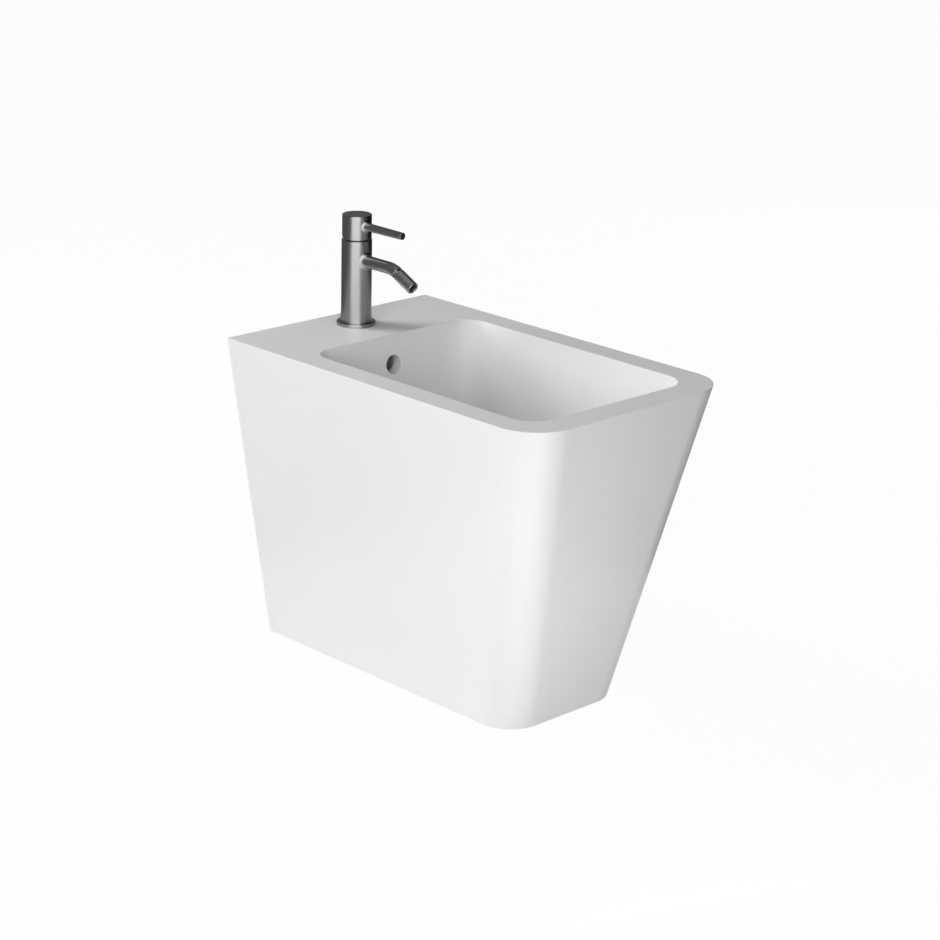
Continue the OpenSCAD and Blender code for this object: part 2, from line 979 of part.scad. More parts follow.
// perforated insert of the aerator
module aerator_insert() {
    insert_h = 6;
    floor_t = 1.5;
    hole_r = 0.9;
    hole_ring_r = 3.1;
    color([0.9, 0.9, 0.9])
    on_nozzle(tip_s - 2.6 - insert_h)
        difference() {
            cylinder(r = aerator_r - fit_gap, h = insert_h);
            translate([0, 0, -cut])
                cylinder(r = aerator_r - 1, h = insert_h - floor_t + cut);
            for (a = [0:60:300])
                rotate([0, 0, a])
                    translate([hole_ring_r, 0, 0])
                        cylinder(r = hole_r, h = 10);
            cylinder(r = hole_r, h = 10);
        }
}

// waste body: flange, threaded tube, overflow slots and the bridge for the plug's guide
module waste_body() {
    color(chrome)
    at_waste(0)
        difference() {
            union() {
                translate([0, 0, shelf_z + flange_gasket_t])
                    cylinder(r = flange_r, h = flange_t);
                translate([0, 0, waste_z0])
                    cylinder(r = waste_r, h = flange_top - seal_t - 0.1 - waste_z0);
            }
            difference() {
                translate([0, 0, waste_z0 - cut])
                    cylinder(r = waste_in_r, h = 3 * long_cut);
                translate([0, 0, spider_z])
                    cylinder(r = spider_r, h = spider_h);
                for (a = [45, 135])
                    rotate([0, 0, a])
                        translate([-waste_in_r - cut, -spoke_w / 2, spider_z])
                            cube([2 * (waste_in_r + cut), spoke_w, spider_h]);
            }
            translate([0, 0, flange_top - seal_t])
                cylinder(r = plug_seat_r, h = seal_t + cut);
            translate([0, 0, spider_z - cut])
                cylinder(r = guide_r, h = spider_h + 2 * cut);
            for (a = [0, 180])
                rotate([0, 0, a])
                    translate([slot_in_r, -slot_w / 2, slot_z])
                        cube([slot_l, slot_w, slot_h]);
        }
}

// rubber ring under the flange
module waste_upper_gasket() {
    color(rubber)
    at_waste(shelf_z)
        ring(flange_r - 1, waste_r + fit_gap, flange_gasket_t);
}

// thick rubber ring under the ceramic
module waste_lower_gasket() {
    color(rubber)
    at_waste(plate_z0 - gasket_h)
        ring(gasket_r, waste_r + fit_gap, gasket_h);
}

// flanged nut under the lower gasket
module waste_backnut() {
    color(chrome)
    at_waste(plate_z0 - gasket_h - backnut_h)
        difference() {
            union() {
                cylinder(r = backnut_r, h = backnut_h, $fn = 8);
                translate([0, 0, backnut_h - 2])
                    cylinder(r = gasket_r, h = 2);
            }
            translate([0, 0, -cut])
                cylinder(r = waste_r + fit_gap, h = backnut_h + 2 * cut);
        }
}

// guide and latch sleeve of the push plug
module plug_guide() {
    color(nylon)
    difference() {
        union() {
            at_waste(spider_z - 6)
                cylinder(r = guide_r - fit_gap, h = 12);
            at_waste(spider_z + spider_h)
                cylinder(r = guide_head_r, h = 14);
        }
        at_waste(spider_z - 20)
            cylinder(r = plug_stem_r + run_gap, h = long_cut);
    }
}

// round plug cap with its hub and skirt, drawn raised
module plug_cap() {
    skirt_h = 5;
    hub_h = 5.5;
    color(chrome)
    difference() {
        union() {
            at_waste(plug_z0)
                round_disc(plug_r, plug_t, plug_edge_r);
            at_waste(plug_z0 - hub_h)
                cylinder(r = plug_hub_r, h = hub_h + cut);
            difference() {
                at_waste(plug_z0 - skirt_h)
                    cylinder(r = plug_skirt_r, h = skirt_h + cut);
                at_waste(plug_z0 - skirt_h - cut)
                    cylinder(r = plug_skirt_r - 2.2, h = skirt_h + cut);
            }
        }
        at_waste(plug_z0 - 2 * hub_h)
            cylinder(r = plug_stem_r, h = 2 * hub_h + 1);
    }
}

// flat rubber ring under the plug cap
module plug_seal() {
    color(rubber)
    at_waste(plug_z0 - seal_t)
        ring(plug_seat_r - 1, plug_skirt_r + fit_gap, seal_t);
}

// plug stem in the guide
module plug_stem() {
    color(zinc)
    at_waste(spider_z - 5)
        cylinder(r = plug_stem_r, h = plug_z0 + 1 - spider_z + 5);
}

// flat washer between waste and trap
module inlet_washer() {
    color(rubber)
    at_waste(waste_z0 - washer_h)
        ring(waste_r - 0.4, tube_in_r, washer_h);
}

// union nut of the trap's inlet
module inlet_nut() {
    shoulder_h = 3.5;
    color(white_plastic)
    at_waste(waste_z0 - washer_h - 2.5 - shoulder_h)
        difference() {
            cylinder(r = inlet_nut_r, h = inlet_nut_h, $fn = 12);
            translate([0, 0, shoulder_h])
                cylinder(r = waste_r + fit_gap, h = inlet_nut_h);
            translate([0, 0, -cut])
                cylinder(r = tube_r + slip_gap, h = inlet_nut_h);
        }
}

// flanged tube that dips into the bottle
module inlet_tube() {
    rim_h = 2.5;
    top = waste_z0 - washer_h;
    color(white_plastic)
    difference() {
        union() {
            at_waste(dip_z)
                cylinder(r = tube_r, h = top - dip_z);
            at_waste(top - rim_h)
                cylinder(r = waste_r - 0.4, h = rim_h);
        }
        at_waste(dip_z - cut)
            cylinder(r = tube_in_r, h = top - dip_z + 2 * cut);
    }
}

// seat for a cone washer at the end of a socket, drawn along +Z
module cone_seat() {
    cylinder(r1 = tube_r + slip_gap, r2 = tube_r + slip_gap + 3, h = 5.1);
}

// bottle top with inlet collar, side socket and the cup's thread
module trap_body() {
    step_z = body_z0 + thread_l;
    color(white_plastic)
    at_waste(0)
        difference() {
            union() {
                translate([0, 0, body_z0])
                    cylinder(r = thread_r, h = thread_l + 6);
                translate([0, 0, step_z])
                    cylinder(r = bottle_r, h = body_z1 - step_z);
                translate([0, 0, body_z1 - cut])
                    cylinder(r = tube_r + collar_t, h = 12 + cut);
                translate([0, 0, outlet_z])
                    to_wall()
                        cylinder(r = tube_r + collar_t, h = socket_y - waste_y);
            }
            translate([0, 0, body_z0 - cut])
                cylinder(r = thread_r - bottle_t, h = thread_l + 4);
            translate([0, 0, step_z])
                cylinder(r = bottle_r - bottle_t, h = body_z1 - step_z - bottle_t);
            translate([0, 0, body_z1 - 10])
                cylinder(r = tube_r + slip_gap, h = long_cut);
            translate([0, 0, body_z1 + 7])
                cone_seat();
            translate([0, 20, outlet_z])
                to_wall()
                    cylinder(r = tube_r + slip_gap, h = long_cut);
            translate([0, socket_y - waste_y - 5, outlet_z])
                to_wall()
                    cone_seat();
        }
}

// grip ribs round a piece of radius r
module grip_ribs(r, height, h) {
    rib_w = 3;
    for (a = [0:30:330])
        rotate([0, 0, a])
            translate([r - slip_gap, -rib_w / 2, 0])
                cube([height + slip_gap, rib_w, h]);
}

// screwed bottle cup
module trap_cup() {
    cup_h = cup_top - cup_z0;
    color(white_plastic)
    at_waste(0)
        difference() {
            union() {
                translate([0, 0, cup_z0])
                    cylinder(r = cup_r, h = cup_h);
                translate([0, 0, cup_z0])
                    grip_ribs(cup_r, 1.3, cup_h);
            }
            translate([0, 0, cup_z0 + bottle_t])
                cylinder(r = cup_r - bottle_t, h = body_z0 - 5 - cup_z0 - bottle_t);
            translate([0, 0, cup_z0 + bottle_t])
                cylinder(r = thread_r - bottle_t, h = 2 * long_cut);
            translate([0, 0, body_z0 - washer_h])
                cylinder(r = thread_r + fit_gap, h = long_cut);
        }
}

// ring that seals cup and bottle top
module cup_seal() {
    color(rubber)
    at_waste(body_z0 - washer_h)
        ring(thread_r, thread_r - bottle_t, washer_h);
}

// ribbed compression nut, drawn along +Z from its open end
module compression_nut() {
    difference() {
        union() {
            cylinder(r = tube_r + collar_t + 3, h = nut_h);
            grip_ribs(tube_r + collar_t + 3, 1.5, nut_h);
        }
        translate([0, 0, -cut])
            cylinder(r = tube_r + collar_t + fit_gap, h = nut_h - 3 + cut);
        translate([0, 0, -cut])
            cylinder(r = tube_r + slip_gap, h = nut_h + 2 * cut);
    }
}

// cone washer of a compression joint, from its thin end, with the hole of its tube
module cone_washer(hole_r) {
    cone_h = 4;
    difference() {
        union() {
            cylinder(r1 = tube_r + 0.8, r2 = tube_r + 3.15, h = cone_h);
            translate([0, 0, cone_h])
                cylinder(r = tube_r + 3.2, h = 2);
        }
        translate([0, 0, -cut])
            cylinder(r = hole_r + fit_gap, h = cone_h + 2 + 2 * cut);
    }
}

// compression nut around the dip tube
module trap_nut() {
    color(white_plastic)
    at_waste(body_z1 + 3)
        compression_nut();
}

// its cone washer
module trap_seal() {
    color(rubber)
    at_waste(body_z1 + 8)
        cone_washer(tube_r);
}

// compression nut of the outlet
module outlet_nut() {
    color(white_plastic)
    translate([0, socket_y - 9, outlet_z])
        to_wall()
            compression_nut();
}

// its cone washer
module outlet_seal() {
    color(rubber)
    translate([0, socket_y - 4, outlet_z])
        to_wall()
            cone_washer(tube_r - neck_step);
}

// outlet tube to the wall, a little slimmer where it sits in the trap
module outlet_tube() {
    color(white_plastic)
    translate([0, tube_y0, outlet_z])
        to_wall()
            difference() {
                union() {
                    cylinder(r = tube_r - neck_step, h = tube_step_y - tube_y0 + cut);
                    translate([0, 0, tube_step_y - tube_y0])
                        cylinder(r = tube_r, h = wall_y - tube_step_y);
                }
                translate([0, 0, -cut])
                    cylinder(r = tube_in_r, h = wall_y - tube_y0 + 2 * cut);
            }
}

ceramic_body();
fixing_bushes();
fixing_washers();
tap_base_ring();
tap_base_seal();
tap_body();
spout_tube();
ball_stud();
cartridge_housing();
cartridge_nut();
cartridge_seals();
fixed_disc();
fixing_stud();
horseshoe_gasket();
horseshoe_washer();
fixing_nut();
rotor();
pivot_pin();
moving_disc();
stem();
handle_cap();
lever_pin();
ball_seat();
nozzle_body();
nozzle_seal();
aerator_housing();
aerator_insert();
waste_body();
waste_upper_gasket();
waste_lower_gasket();
waste_backnut();
plug_guide();
plug_cap();
plug_seal();
plug_stem();
inlet_washer();
inlet_nut();
inlet_tube();
trap_body();
trap_cup();
cup_seal();
trap_nut();
trap_seal();
outlet_nut();
outlet_seal();
outlet_tube();
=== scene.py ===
"""Looks of a floor standing bidet with a single hole lever mixer.

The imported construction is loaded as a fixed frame. Each sub-assembly below builds the pieces that
show, dresses them and hands them to the body that carries them. Lengths are metres, Z is up, the
user is at -Y and the wall at +Y.
"""

import json
import logging
import math
from collections.abc import Callable, Iterable, Sequence
from dataclasses import dataclass, field
from enum import Enum

import bmesh
import bpy
from mathutils import Matrix, Vector


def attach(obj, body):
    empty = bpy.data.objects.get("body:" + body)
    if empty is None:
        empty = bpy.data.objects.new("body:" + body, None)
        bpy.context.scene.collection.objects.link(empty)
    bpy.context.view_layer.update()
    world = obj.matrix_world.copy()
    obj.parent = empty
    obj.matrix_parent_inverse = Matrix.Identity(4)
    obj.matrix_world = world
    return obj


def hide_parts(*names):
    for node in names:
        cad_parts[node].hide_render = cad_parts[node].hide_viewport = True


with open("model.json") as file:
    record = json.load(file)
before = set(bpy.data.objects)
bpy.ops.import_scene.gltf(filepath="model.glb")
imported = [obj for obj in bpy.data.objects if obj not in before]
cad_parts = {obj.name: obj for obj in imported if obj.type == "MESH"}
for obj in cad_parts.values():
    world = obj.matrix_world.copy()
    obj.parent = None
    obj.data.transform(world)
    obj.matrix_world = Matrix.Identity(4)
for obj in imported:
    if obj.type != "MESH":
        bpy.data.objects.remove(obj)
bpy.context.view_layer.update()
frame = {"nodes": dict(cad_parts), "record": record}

LOG = logging.getLogger("bidet")
MM = 0.001
MICRON = 1e-6
TINY = 1e-9
WHITE = (1.0, 1.0, 1.0, 1.0)
ORIGIN = Matrix.Identity(4)
UP = (0.0, 0.0, 1.0)
FORWARD = (0.0, -1.0, 0.0)
BACKWARD = (0.0, 1.0, 0.0)
Point = tuple[float, ...]
Triple = tuple[float, float, float]


# ---------------------------------------------------------------- node trees


@dataclass(frozen=True)
class Signal:
    """One output in a node tree; arithmetic on it adds Math nodes."""

    wiring: "Wiring"
    socket: bpy.types.NodeSocket

    def _join(self, operation: str, first: object, second: object) -> "Signal":
        """Adds one Math node on two operands, each a Signal or a number."""
        return self.wiring.out("ShaderNodeMath", {"operation": operation}, {0: first, 1: second})

    def __add__(self, other: object) -> "Signal":
        """Sum."""
        return self._join("ADD", self, other)

    __radd__ = __add__

    def __mul__(self, other: object) -> "Signal":
        """Product."""
        return self._join("MULTIPLY", self, other)

    __rmul__ = __mul__

    def __sub__(self, other: object) -> "Signal":
        """Difference."""
        return self._join("SUBTRACT", self, other)

    def __rsub__(self, other: object) -> "Signal":
        """Reflected difference."""
        return self._join("SUBTRACT", other, self)

    def limit(self, low: float, high: float) -> "Signal":
        """The value kept between low and high."""
        return self._join("MINIMUM", self._join("MAXIMUM", self, low), high)

    def swing(self, amount: float, middle: float = 0.5) -> "Signal":
        """How far the value lies from a middle, times an amount."""
        return (self - middle) * amount

    def above(self, start: float, gain: float, top: float = 1.0) -> "Signal":
        """How far the value lies over start, times gain, kept between 0 and top."""
        return self.swing(gain, start).limit(0.0, top)


@dataclass
class Wiring:
    """A node tree that nodes are added to by one method."""

    tree: bpy.types.NodeTree = field(init=False)

    def add(self, kind: str, settings: dict | None = None, values: dict | None = None) -> bpy.types.Node:
        """Adds a node of any type.

        Args:
            kind: the node's type name.
            settings: properties that are set first.
            values: numbers, colours or Signals for the sockets, by name or number; a list links several.

        Returns:
            The new node.
        """
        node = self.tree.nodes.new(kind)
        for key, value in (settings or {}).items():
            setattr(node, key, value)
        for key, value in (values or {}).items():
            for each in value if isinstance(value, list) else [value]:
                if isinstance(each, Signal):
                    self.tree.links.new(each.socket, node.inputs[key])
                else:
                    node.inputs[key].default_value = each
        return node

    def out(self, kind: str, settings: dict | None = None, values: dict | None = None,
            key: int | str = 0) -> Signal:
        """Adds a node as add does, and gives its output with this name or number."""
        return Signal(self, self.add(kind, settings, values).outputs[key])


@dataclass
class Graph(Wiring):
    """The node graph of one material or of the world."""

    owner: bpy.types.Material | bpy.types.World

    def __post_init__(self) -> None:
        """Starts with an empty graph."""
        self.owner.use_nodes = True
        self.tree = self.owner.node_tree
        self.tree.nodes.clear()

    def coordinates(self, stretch: Triple = (1.0, 1.0, 1.0), about: Triple = (0.0, 0.0, 0.0),
                    turn: Triple = (0.0, 0.0, 0.0)) -> Signal:
        """Object coordinates, moved to a centre, turned and stretched.

        Args:
            stretch: scale along each axis after the turn.
            about: the point that becomes the pattern's centre.
            turn: Euler angles in radians that the piece's axes are turned back by.

        Returns:
            The coordinate vector.
        """
        place = self.out("ShaderNodeTexCoord", key="Object")
        centre = tuple(-value for value in about)
        for name, value in (("Location", centre), ("Rotation", turn), ("Scale", stretch)):
            place = self.out("ShaderNodeMapping", {"vector_type": "POINT"}, {"Vector": place, name: value})
        return place

    def noise(self, where: Signal, scale: float, detail: float = 2.0, roughness: float = 0.5) -> Signal:
        """Noise between 0 and 1.

        Args:
            where: coordinate vector.
            scale: cells per metre.
            detail: octaves.
            roughness: weight of the fine octaves.

        Returns:
            The noise value.
        """
        return self.out("ShaderNodeTexNoise", {},
                        {"Vector": where, "Scale": scale, "Detail": detail, "Roughness": roughness})

    def blend(self, factor: Signal, low: Triple | Signal, high: Triple | Signal) -> Signal:
        """Colour mix.

        Args:
            factor: 0 gives low, 1 gives high.
            low: first colour, or a colour output.
            high: second colour, or a colour output.

        Returns:
            The mixed colour.
        """
        share, first, second, mixed = 0, 6, 7, 2
        ends = [colour if isinstance(colour, Signal) else (*colour, 1.0) for colour in (low, high)]
        return self.out("ShaderNodeMix", {"data_type": "RGBA"},
                        {share: factor, first: ends[0], second: ends[1]}, mixed)

    def bump(self, height: Signal, depth: float, below: Signal | None = None) -> Signal:
        """Normal disturbed by a height.

        Args:
            height: the height signal.
            depth: metres that a height of 1 stands for.
            below: normal that this bump lies on.

        Returns:
            The new normal.
        """
        values = {"Height": height, "Distance": depth, "Strength": 1.0}
        if below is not None:
            values["Normal"] = below
        return self.out("ShaderNodeBump", {}, values)

    def seen(self) -> Signal:
        """Tells what is looked at from what is lit.

        Returns:
            1 for rays from the camera and from metal or glass, 0 for the light that falls on the object.
        """
        rays = self.add("ShaderNodeLightPath")
        camera, glossy, through = (Signal(self, rays.outputs[f"Is {kind} Ray"])
                                   for kind in ("Camera", "Glossy", "Transmission"))
        return (camera + glossy + through).limit(0.0, 1.0)

    def close(self, values: dict, shader: str = "ShaderNodeBsdfPrincipled",
              output: str = "ShaderNodeOutputMaterial") -> None:
        """Ends the graph.

        Args:
            values: values of the shader's sockets.
            shader: the shader's type name.
            output: the output node's type name.
        """
        self.add(output, {}, {"Surface": self.out(shader, {}, values)})


# ---------------------------------------------------------------- finishes


@dataclass(frozen=True)
class Finish:
    """A finish: a name for its material and a graph that draws it."""

    name: str

    def draw(self, graph: Graph) -> None:
        """Fills the material's graph."""
        raise NotImplementedError

    def material(self) -> bpy.types.Material:
        """Makes the finish's material, once.

        Returns:
            The material.
        """
        known = bpy.data.materials.get(self.name)
        if known is None:
            known = bpy.data.materials.new(self.name)
            self.draw(Graph(known))
        return known


@dataclass(frozen=True)
class Glaze(Finish):
    """White vitreous glaze over cast clay: soft ripples, faint clouds and a few pinholes."""

    colour: Triple = (0.865, 0.865, 0.865)
    cloud: Triple = (0.84597, 0.84597, 0.84251)
    pin: Triple = (0.55, 0.54, 0.52)
    shine: float = 0.36

    def draw(self, graph: Graph) -> None:
        """Fills the material's graph.

        Args:
            graph: the graph.
        """
        place = graph.coordinates()
        clouds = graph.noise(place, scale=9.0, detail=3.0)
        ripple = graph.noise(place, scale=34.0, detail=1.0)
        peel = graph.noise(place, scale=420.0)
        pinhole = graph.noise(place, scale=1500.0, detail=1.0).above(0.80, gain=18.0)
        graph.close({
            "Base Color": graph.blend(pinhole * 0.35, graph.blend(clouds, self.cloud, self.colour), self.pin),
            "Roughness": self.shine + clouds.swing(0.06) + pinhole * 0.2,
            "Normal": graph.bump(peel, 6 * MICRON, graph.bump(ripple, 250 * MICRON)),
            "IOR": 1.5,
            "Specular IOR Level": 0.42,
        })


@dataclass(frozen=True)
class Biscuit(Finish):
    """Fired clay without glaze, inside the casting and under the foot: grainy, with casting runs."""

    colour: Triple = (0.70, 0.685, 0.65)
    stain: Triple = (0.574, 0.5617, 0.533)

    def draw(self, graph: Graph) -> None:
        """Fills the material's graph.

        Args:
            graph: the graph.
        """
        place = graph.coordinates()
        runs = graph.noise(graph.coordinates((1.0, 1.0, 0.12)), scale=60.0, detail=3.0)
        grain = graph.noise(place, scale=1900.0, detail=3.0, roughness=0.7)
        stains = graph.noise(place, scale=14.0, detail=4.0, roughness=0.6)
        graph.close({
            "Base Color": graph.blend(stains * 0.7 + grain * 0.3, self.stain, self.colour),
            "Roughness": 0.78 + grain * 0.18,
            "Normal": graph.bump(grain, 60 * MICRON, graph.bump(runs, 400 * MICRON)),
            "Specular IOR Level": 0.3,
        })


class Grain(Enum):
    """Direction of the brush lines on a metal piece."""

    ROUND = (1.0, 1.0, 60.0)
    LENGTHWISE = (60.0, 60.0, 1.0)


@dataclass(frozen=True)
class BrushedSteel(Finish):
    """Stainless steel with fine brush lines, darker and lighter streaks and a few handling marks."""

    grain: Grain = Grain.ROUND
    about: Triple = (0.0, 0.222, 0.48)
    turn: Triple = (0.0, 0.0, 0.0)
    light: Triple = (0.62, 0.62, 0.625)
    dark: Triple = (0.43, 0.43, 0.435)
    roughness: float = 0.3
    stretch: float = 0.0

    def draw(self, graph: Graph) -> None:
        """Fills the material's graph.

        Args:
            graph: the graph.
        """
        lines = graph.coordinates(self.grain.value, self.about, self.turn)
        plain = graph.coordinates(about=self.about, turn=self.turn)
        coarse = graph.noise(lines, scale=38.0, detail=3.0, roughness=0.6)
        fine = graph.noise(lines, scale=160.0, detail=4.0, roughness=0.7)
        smears = graph.noise(plain, scale=70.0, detail=3.0, roughness=0.6)
        brush = coarse * 0.45 + fine * 0.55
        graph.close({
            "Base Color": graph.blend(brush.above(0.25, gain=2.0), self.dark, self.light),
            "Metallic": 1.0,
            "Roughness": self.roughness + brush.swing(0.16) + smears.swing(0.08),
            "Normal": graph.bump(brush, 20 * MICRON),
            "Anisotropic": self.stretch,
            "Anisotropic Rotation": 0.25,
        })


@dataclass(frozen=True)
class PlatedMetal(Finish):
    """Plated metal: polished or cloudy, with fine scratches and water marks."""

    colour: Triple = (0.62, 0.63, 0.65)
    shade: Triple = (0.50, 0.51, 0.54)
    roughness: float = 0.16
    clouds: float = 90.0

    def draw(self, graph: Graph) -> None:
        """Fills the material's graph.

        Args:
            graph: the graph.
        """
        place = graph.coordinates()
        slanted = graph.coordinates((1.0, 14.0, 14.0), turn=(0.3, 0.5, 0.9))
        cloud = graph.noise(place, scale=self.clouds, detail=3.0, roughness=0.6)
        marks = graph.noise(place, scale=700.0)
        scratch = graph.noise(slanted, scale=220.0, detail=3.0)
        graph.close({
            "Base Color": graph.blend(cloud, self.shade, self.colour),
            "Metallic": 1.0,
            "Roughness": self.roughness + cloud.swing(0.2, middle=0.4) + marks.above(0.62, gain=3.0, top=0.2),
            "Normal": graph.bump(scratch, 12 * MICRON),
        })


@dataclass(frozen=True)
class MouldedPlastic(Finish):
    """Moulded plastic with a fine spark texture, flow clouds and a faint rub sheen."""

    colour: Triple = (0.78, 0.79, 0.78)
    shade: Triple = (0.72, 0.73, 0.71)
    roughness: float = 0.42
    texture: float = 30 * MICRON

    def draw(self, graph: Graph) -> None:
        """Fills the material's graph.

        Args:
            graph: the graph.
        """
        place = graph.coordinates()
        flow = graph.noise(place, scale=22.0, detail=3.0, roughness=0.6)
        spark = graph.noise(place, scale=1400.0, roughness=0.6)
        rub = graph.noise(place, scale=120.0, detail=4.0, roughness=0.7)
        graph.close({
            "Base Color": graph.blend(flow, self.shade, self.colour),
            "Roughness": self.roughness + rub.swing(0.2) + spark.swing(0.1),
            "Normal": graph.bump(spark, self.texture),
            "Specular IOR Level": 0.45,
        })


@dataclass(frozen=True)
class Rubber(Finish):
    """Black sealing rubber: matt, with talc bloom and moulding grain."""

    colour: Triple = (0.022, 0.022, 0.024)
    talc: Triple = (0.07, 0.07, 0.07)

    def draw(self, graph: Graph) -> None:
        """Fills the material's graph.

        Args:
            graph: the graph.
        """
        place = graph.coordinates()
        bloom = graph.noise(place, scale=160.0, detail=4.0, roughness=0.7)
        grain = graph.noise(place, scale=2400.0)
        graph.close({
            "Base Color": graph.blend(bloom.above(0.5, gain=1.6), self.colour, self.talc),
            "Roughness": 0.72 + bloom * 0.2,
            "Normal": graph.bump(grain, 20 * MICRON),
            "Specular IOR Level": 0.35,
        })


@dataclass(frozen=True)
class Glow(Finish):
    """An even light of its own, for a card that only reflections see."""

    tone: float

    def draw(self, graph: Graph) -> None:
        """Fills the material's graph."""
        graph.close({"Color": WHITE, "Strength": self.tone}, "ShaderNodeEmission")


@dataclass(frozen=True)
class PaleFloor(Finish):
    """A matt floor that takes a shadow and otherwise melts into the white surroundings."""

    colour: Triple = (0.72, 0.72, 0.72)
    melt: float = 0.97

    def draw(self, graph: Graph) -> None:
        """Fills the material's graph.

        Args:
            graph: the graph.
        """
        matt = graph.out("ShaderNodeBsdfDiffuse", {}, {"Color": (*self.colour, 1.0)})
        glow = graph.out("ShaderNodeEmission", {}, {"Color": WHITE, "Strength": 1.0})
        graph.close({0: graph.seen() * self.melt, 1: matt, 2: glow}, "ShaderNodeMixShader")


LEVEL_AXIS = (math.pi / 2, 0.0, 0.0)
NOZZLE_AXIS = (math.radians(64), 0.0, 0.0)
GLAZE = Glaze("glazed_ceramic_skin")
BISCUIT = Biscuit("unglazed_clay")
COLUMN_STEEL = BrushedSteel("brushed_steel_turned", roughness=0.42, stretch=0.85)
CAP_STEEL = BrushedSteel("brushed_steel_cap_top")
LEVER_STEEL = BrushedSteel("brushed_steel_lever", Grain.LENGTHWISE, (0.0, 0.17, 0.5526), LEVEL_AXIS)
NOZZLE_STEEL = BrushedSteel("brushed_steel_nozzle", Grain.ROUND, (0.0, 0.13, 0.497), NOZZLE_AXIS)
SPOUT_STEEL = BrushedSteel("brushed_steel_spout", Grain.LENGTHWISE, (0.0, 0.18, 0.507), LEVEL_AXIS)
CHROME = PlatedMetal("polished_chrome", roughness=0.1)
ZINC = PlatedMetal("zinc_plated_steel", (0.50, 0.52, 0.55), (0.36, 0.38, 0.40), 0.34, 340.0)
BRASS = PlatedMetal("machined_brass", (0.66, 0.49, 0.22), (0.55, 0.39, 0.16), 0.28, 60.0)
# The cartridge nut's metal is far darker than plated brass: painted shade for the seam between column and
# handle cap.
SEAM_SHADE_NUT_METAL = PlatedMetal("nut_metal_darkened_as_seam_shade", (0.27, 0.26, 0.24), (0.18, 0.175, 0.165), 0.3, 120.0)
WHITE_PLASTIC = MouldedPlastic("white_drain_plastic")
NYLON = MouldedPlastic("natural_nylon", (0.74, 0.72, 0.66), (0.66, 0.64, 0.57), 0.5)
DARK_PLASTIC = MouldedPlastic("dark_acetal", (0.075, 0.076, 0.08), (0.05, 0.05, 0.054), 0.38)
DISC_CERAMIC = MouldedPlastic("lapped_disc_ceramic", (0.82, 0.81, 0.77), (0.76, 0.75, 0.71), 0.2, 4 * MICRON)
RUBBER = Rubber("black_rubber")


class Slot(Enum):
    """Material slots of the record."""

    CERAMIC = "ceramic"
    NYLON = "nylon"
    ZINC_STEEL = "zinc_steel"
    SATIN_STEEL = "satin_steel"
    RUBBER = "rubber"
    BRASS = "brass"
    DISC_CERAMIC = "disc_ceramic"
    DARK_PLASTIC = "dark_plastic"
    WHITE_PLASTIC = "white_plastic"
    CHROME = "chrome"


SLOT_FINISH: dict[Slot, Finish] = {
    Slot.CERAMIC: GLAZE, Slot.NYLON: NYLON, Slot.ZINC_STEEL: ZINC, Slot.SATIN_STEEL: COLUMN_STEEL,
    Slot.RUBBER: RUBBER, Slot.BRASS: BRASS, Slot.DISC_CERAMIC: DISC_CERAMIC, Slot.DARK_PLASTIC: DARK_PLASTIC,
    Slot.WHITE_PLASTIC: WHITE_PLASTIC, Slot.CHROME: CHROME,
}


# ---------------------------------------------------------------- mesh toolkit

SHARPEST_TURN = 0.05
FLATTEST_TURN = math.pi - 0.12
EDGE_SHARE = 0.45
SAME_POINT = 1e-7
WELD_REACH = 3 * MICRON


def fillet(outline: Sequence[Point], radius: float, steps: int = 3, keep_axis: bool = True) -> list[Point]:
    """Rounds the corners of a closed outline.

    Args:
        outline: corners in order; a third value is the corner's own radius.
        radius: radius of the other corners. Both are made smaller where an edge is short.
        steps: arc pieces for each corner.
        keep_axis: corners on the axis (first coordinate 0) stay sharp.

    Returns:
        The rounded outline.
    """
    rounded: list[Point] = []
    for index, corner in enumerate(outline):
        here = Vector(corner[:2])
        before = Vector(outline[index - 1][:2]) - here
        after = Vector(outline[(index + 1) % len(outline)][:2]) - here
        turn = before.angle(after, 0.0)
        wanted = corner[2] if len(corner) > 2 else radius
        reach = 0.0
        if SHARPEST_TURN < turn < FLATTEST_TURN and not (keep_axis and abs(corner[0]) < TINY):
            reach = min(wanted / math.tan(turn / 2), EDGE_SHARE * before.length, EDGE_SHARE * after.length)
        if reach < SAME_POINT:
            rounded.append(corner[:2])
            continue
        before.normalize()
        after.normalize()
        start, end = here + before * reach, here + after * reach
        centre = here + (before + after).normalized() * (reach * math.tan(turn / 2) / math.sin(turn / 2))
        sweep = (start - centre).angle_signed(end - centre, 0.0)
        for step in range(steps + 1):
            arm = start - centre
            arm.rotate(Matrix.Rotation(-sweep * step / steps, 2))
            rounded.append(tuple(centre + arm))
    return rounded


def quarter(start: float, steps: int) -> list[float]:
    """The angles of a quarter turn from start, in even steps."""
    return [start + 0.5 * math.pi * step / steps for step in range(steps + 1)]


def at(x: float, y: float, z: float) -> Matrix:
    """An upright frame at a point."""
    return Matrix.Translation((x, y, z))


def place_on(origin: Sequence[float], direction: Sequence[float]) -> Matrix:
    """A frame at origin whose Z runs along a direction square to X, and whose X stays level.

    Args:
        origin: where the frame stands.
        direction: its Z axis.

    Returns:
        The frame as a matrix.
    """
    z_axis = Vector(direction).normalized()
    y_axis = z_axis.cross(Vector((1.0, 0.0, 0.0))).normalized()
    axes = Matrix((y_axis.cross(z_axis), y_axis, z_axis)).transposed().to_4x4()
    return Matrix.Translation(Vector(origin)) @ axes


def meshed(shape: bmesh.types.BMesh) -> bpy.types.Mesh:
    """Merges doubles, turns the faces outwards and frees the bmesh.

    Args:
        shape: the bmesh.

    Returns:
        The new mesh.
    """
    bmesh.ops.remove_doubles(shape, verts=shape.verts, dist=SAME_POINT)
    bmesh.ops.recalc_face_normals(shape, faces=shape.faces)
    mesh = bpy.data.meshes.new("shape")
    shape.to_mesh(mesh)
    shape.free()
    return mesh


